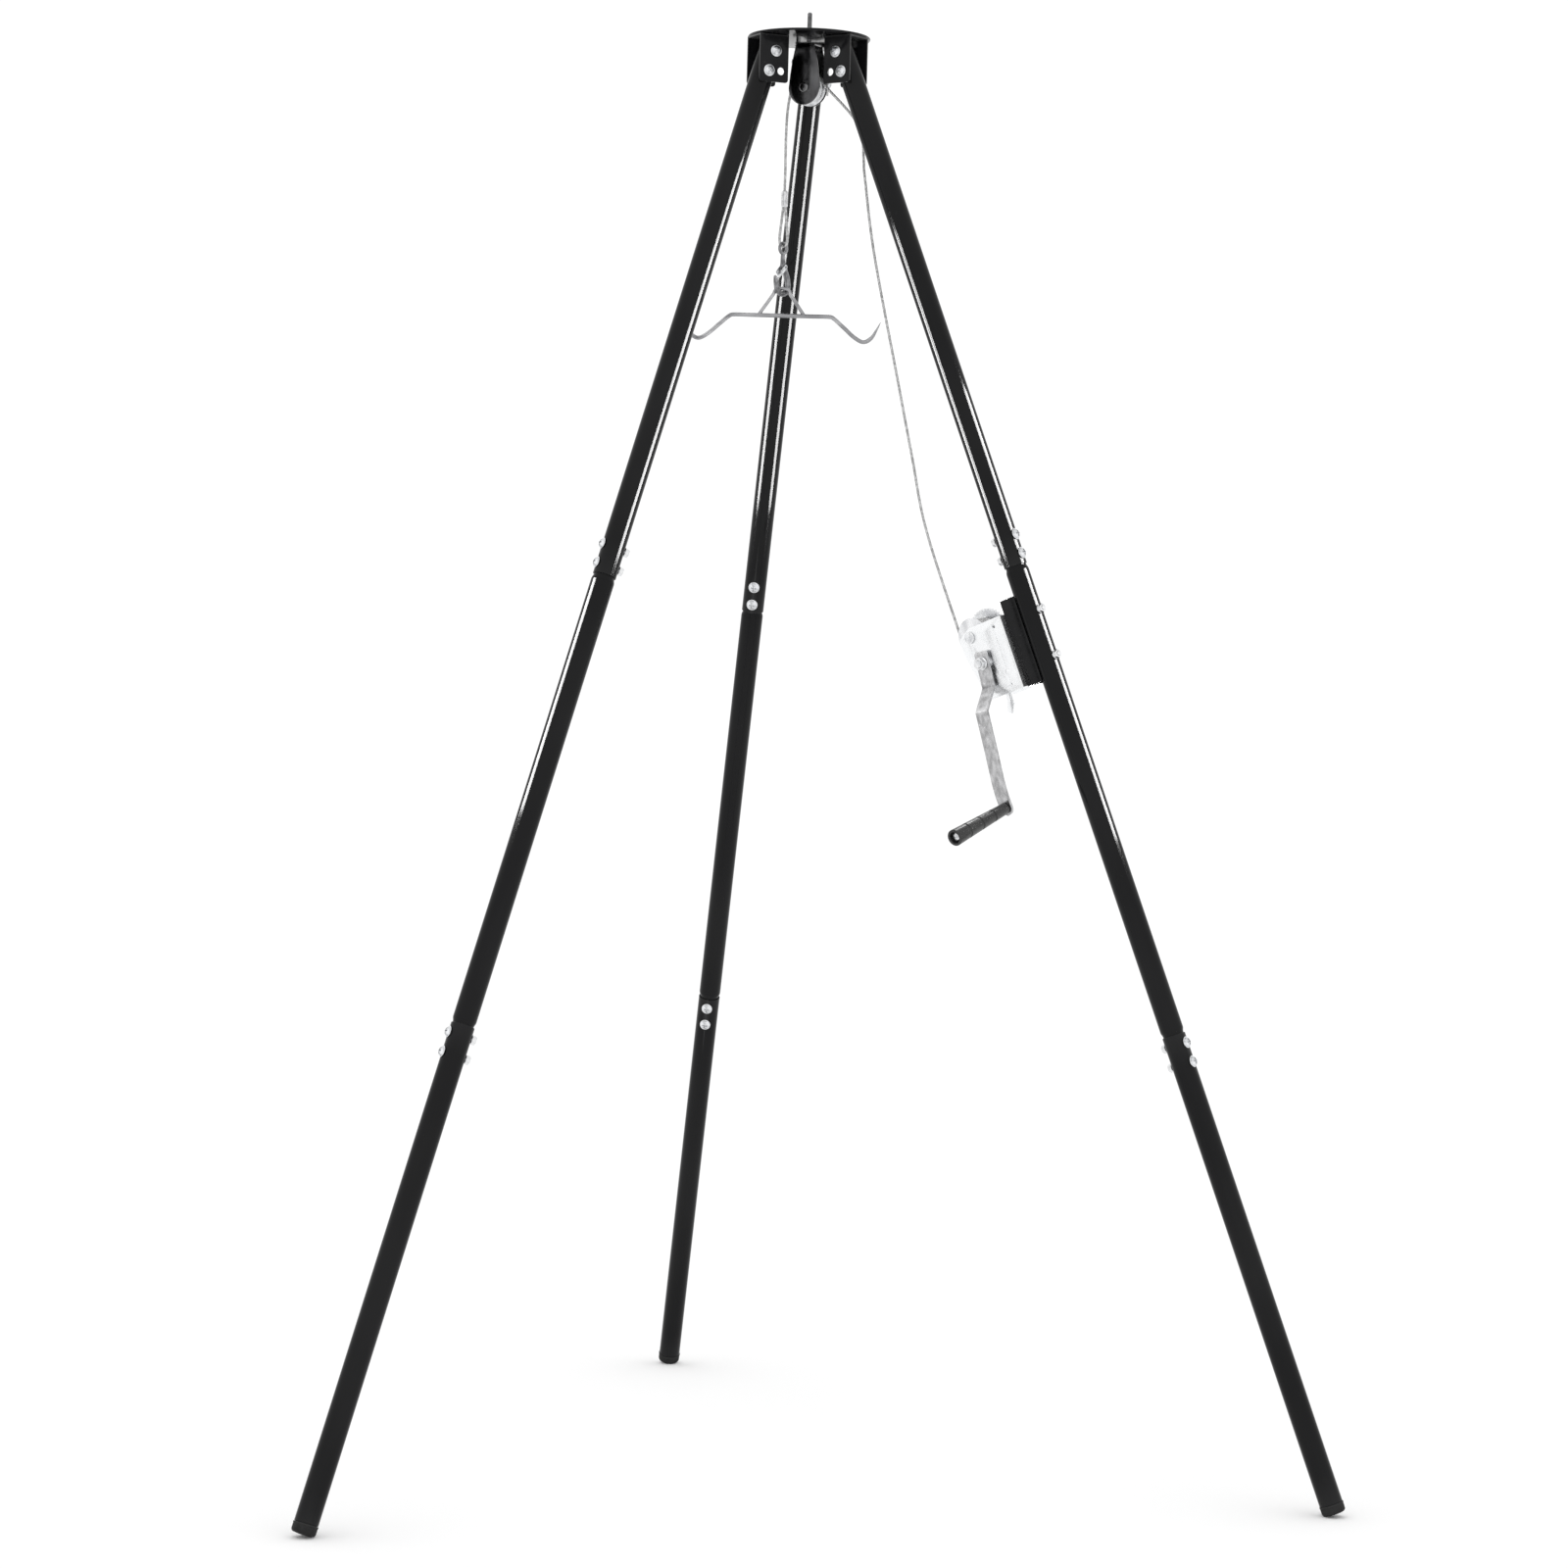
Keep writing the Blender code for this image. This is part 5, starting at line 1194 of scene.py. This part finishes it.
def build_crank():
    side = FRAME_HALF_W + GAP
    nut_face = side + CRANK_OFF + CRANK_T + GAP
    to_drum = atan2(DRUM_Z - PINION_Z, DRUM_X - PINION_X)
    end = nut_face + 12 * MM
    profile = [(0, end), *about(SHAFT_R, end, (-1, 0), (-0.6, -0.6))]
    profile += reversed(threaded(SHAFT_R, nut_face + 0.3 * MM, end - 0.8 * MM))
    profile += [(SHAFT_R, nut_face), (SHAFT_R, side + CRANK_OFF - GAP), (10 * MM, side + CRANK_OFF - GAP)]
    profile += [(10 * MM, side), (SHAFT_R, side), (SHAFT_R, -side), *about(9 * MM, -side, (0, 0), (0, -2))]
    profile += [*about(SHAFT_R, -side, (0, -2), (-0.5, -4)), (0, -side - 4 * MM)]
    shaft = moved(turned(profile, 48), ALONG_Y.inverted())
    pinion = bevelled(extruded(gear_outline(PINION_TEETH, to_drum), 16 * MM, 24 * MM), 0.25 * MM, 1)
    teeth, tip, root = 12, 15 * MM, 12 * MM
    ratchet = []
    for i in range(teeth):
        angle = 2 * pi * i / teeth
        ratchet.append((tip * cos(angle), tip * sin(angle)))
        ratchet.append((root * cos(angle + 0.12), root * sin(angle + 0.12)))
    wheel = bevelled(extruded(ratchet, -24 * MM, -19 * MM), 0.25 * MM, 1)
    stand_in("pinion_shaft", merged(shaft, pinion, wheel), SPIN, GEAR_ZINC)
    stand_in("crank_arm", arm_mesh(), CRANK, ARM_ZINC)

    hole = (SHAFT_R + GAP) / cos(radians(30)) - 0.6 * MM
    collar = [(hole, 0), *about(0, 0, (10.6, 0), (11, 0.5), (10.8, 1.2), (9.4, 1.9)), (hole, 1.9 * MM)]
    nut = merged(turned(collar, 48), hexagon(10.4 * MM, 1.9 * MM, 9 * MM, hole))
    stand_in("crank_nut", moved(nut, shift(0, -nut_face, 0) @ ALONG_Y.inverted()), SPIN, BOLT_ZINC)


def build_grip():
    small, large = 9.5 * MM, 13.7 * MM
    bore, mouth, start = 4.4 * MM, 9.5 * MM, 1 * MM
    outer = about(small, start, (-0.8, 0), (0, 0.8))
    for share in (0.27, 0.52, 0.77):
        z = start + share * (GRIP_LENGTH - start)
        radius = small + (large - small) * share
        groove = ((-0.1, -2.2), (-0.6, -1.5), (-1.3, -1), (-1.3, 1), (-0.6, 1.5), (0, 2.2))
        outer += about(radius, z, *groove)
    for i in range(7):
        angle = radians(15 * i)
        outer.append((large - 1.8 * MM + 1.8 * MM * cos(angle), GRIP_LENGTH - 1.8 * MM + 1.8 * MM * sin(angle)))
    inner = about(mouth, GRIP_LENGTH, (0.8, 0), (0, -0.8), (0, -9))
    inner += [(bore, GRIP_LENGTH - 9 * MM), (bore, start)]
    stand_in("crank_grip", turned(outer + inner, 64), GRIP)
    pin = about(0, -CRANK_T, (0, -5), (4, -4.6), (6.2, -2.8))
    pin += [(6.5 * MM, -CRANK_T - GAP), (4 * MM, -CRANK_T - GAP)]
    pin += about(0, GRIP_LENGTH, (4, -8), (6.5, -8), (6.5, -5.6), (5, -4.6), (0, -4))
    slot = block((-7 * MM, -0.9 * MM, GRIP_LENGTH - 5.4 * MM), (7 * MM, 0.9 * MM, GRIP_LENGTH))
    stand_in("grip_pin", carved(turned(pin, 40), slot), GRIP, BOLT_ZINC)


def build_pawl():
    nose = Vector((PINION_X - PAWL_X, PINION_Z - PAWL_Z))
    way = nose.normalized()
    tip = nose - way * (15 * MM + 2 * GAP)
    across = Vector((-way.y, way.x))
    outline = [tuple(tip + across * 2 * MM), tuple(tip - across * 2 * MM)]
    outline += about(0, 0, (7, 6), (8.5, 0), (6, -6.5), (-2, -9), (-14, -34), (-15, -52), (-24, -66))
    outline += about(0, 0, (-33, -60), (-27, -44), (-24, -30), (-12, -6))
    body = extruded(rounded_outline(outline, 1.2 * MM, 3), -23.5 * MM, -19.5 * MM)
    stand_in("pawl", bevelled(carved(body, hole_y(0, 0, 3.4 * MM)), 0.4 * MM), PAWL, SHEET_ZINC)


# ---------------------------------------------------------------- stage and light

SOFTBOX_AWAY = 2.6
SOFTBOX_GLOW = 330
GLINT_AWAY = 2
FLOOR_HALF = 40
WORLD_STRENGTH = 1.08


def area_light(name, size, glow, matrix, pieces):
    """A softbox that only the named pieces' gloss shows; glow is its brightness, whatever its size."""
    data = bpy.data.lights.new(name, "AREA")
    data.shape = "RECTANGLE"
    data.size, data.size_y = size
    data.energy = glow * pi * size[0] * size[1] / 4
    light = link(name, data)
    light.matrix_world = matrix
    light.visible_diffuse = False
    group = bpy.data.collections.new(f"{name}_receivers")
    light.light_linking.receiver_collection = group
    for piece in pieces:
        group.objects.link(bpy.data.objects[f"{piece}_piece"])


def softbox(name, side, offset, span, levels):
    """A tall softbox that one leg's gloss mirrors as a line.

    offset is how far the line is from the tube's middle, as a share of its radius; span is the part of the leg
    that shows it, down from the top.
    """
    leg = LEGS[side]
    top = leg.translation
    along = (leg.to_3x3() @ Vector((0, 0, 1))).normalized()
    to_camera = CAMERA_SPOT - top
    camera_down = -to_camera.dot(along)
    across = to_camera + camera_down * along
    far = across.length
    across.normalize()
    angle = 2 * asin(offset)
    way = across * cos(angle) + along.cross(across) * sin(angle)
    start, end = [down + (down - camera_down) * SOFTBOX_AWAY / far for down in span]
    broad = 2 * SOFTBOX_AWAY * tan(asin(abs(offset) + 0.1) - asin(abs(offset) - 0.1))
    place = top - along * (start + end) / 2 + way * SOFTBOX_AWAY
    matrix = axes_matrix(along.cross(way), along, way, place)
    pieces = [f"{level}_leg_{side}" for level in levels]
    area_light(name, (broad, end - start), SOFTBOX_GLOW, matrix, pieces)


def glint(name, pieces, seat, point, normal, size, glow):
    """A square softbox where a face mirrors it to the camera; point and normal are in the seat's frame."""
    point, normal = seat @ Vector(point), (seat.to_3x3() @ Vector(normal)).normalized()
    to_camera = (CAMERA_SPOT - point).normalized()
    way = (2 * normal.dot(to_camera) * normal - to_camera).normalized()
    turn = (way * GLINT_AWAY).to_track_quat("Z", "Y").to_matrix().to_4x4()
    area_light(name, (size, size), glow, Matrix.Translation(point + way * GLINT_AWAY) @ turn, pieces)


def light_fittings():
    glint("glint_mount", ("winch_mount",), WINCH, (-MOUNT_IN, -MOUNT_HALF_W, 0), (-1, -1, 0), 1.6, 130)
    glint("glint_arm", ("crank_arm",), CRANK, (0, -66 * MM, -76 * MM), (0, -1, 0.42), 1.1, 3.5)
    glint("glint_nut", ("crank_nut", "pinion_shaft"), CRANK, (0, -50 * MM, 0), (0.3, -1, 0.2), 0.8, 3)
    middle = GRIP @ Vector((0, 0, GRIP_LENGTH / 2))
    along = GRIP.to_3x3() @ Vector((0, 0, 1))
    upper = (CAMERA_SPOT - middle).normalized() + Vector((0, 0, 1.1))
    glint("glint_grip", ("crank_grip",), shift(*middle), (0, 0, 0), upper - upper.dot(along) * along, 0.9, 55)
    low, edge = (-8 * MM, -15 * MM, -12 * MM), (0, -15 * MM, 45 * MM)
    glint("glint_cheek_low", ("pulley_housing",), AXLE, low, (-0.1, -1, -0.25), 0.7, 7)
    glint("glint_cheek_side", ("pulley_housing",), AXLE, edge, (0.55, -1, 0), 0.9, 9)


def light_legs():
    softbox("softbox_rear_1", "rear", -0.6, (0, 0.75), ("upper",))
    softbox("softbox_rear_2", "rear", 0.5, (0, 0.75), ("upper",))
    softbox("softbox_left_1", "left", 0.6, (0.17, 0.87), ("upper",))
    softbox("softbox_left_2", "left", -0.7, (0.84, 1.3), ("middle",))
    softbox("softbox_right_1", "right", -0.64, (0.28, 0.84), ("upper",))
    softbox("softbox_right_2", "right", 0.68, (0.56, 1.33), ("upper", "middle"))


def stage():
    bm = bmesh.new()
    bmesh.ops.create_grid(bm, x_segments=1, y_segments=1, size=FLOOR_HALF)
    floor = link("floor", mesh_of(bm))
    floor.data.materials.append(look("floor", 0.96, 0.98, (0.8, 0.9), patches=0.5, bump=0, specular=0))
    world = bpy.data.worlds.new("world")
    bpy.context.scene.world = world
    world.use_nodes = True
    inputs = {"Color": (1, 1, 1, 1), "Strength": WORLD_STRENGTH}
    fill(world.node_tree, world.node_tree.nodes["Background"], inputs)
    bpy.context.scene.view_settings.view_transform = "Standard"


build_legs()
build_head()
build_pulley()
build_rope()
build_hook()
build_winch_frame()
build_drum()
build_crank()
build_grip()
build_pawl()
light_legs()
light_fittings()
stage()
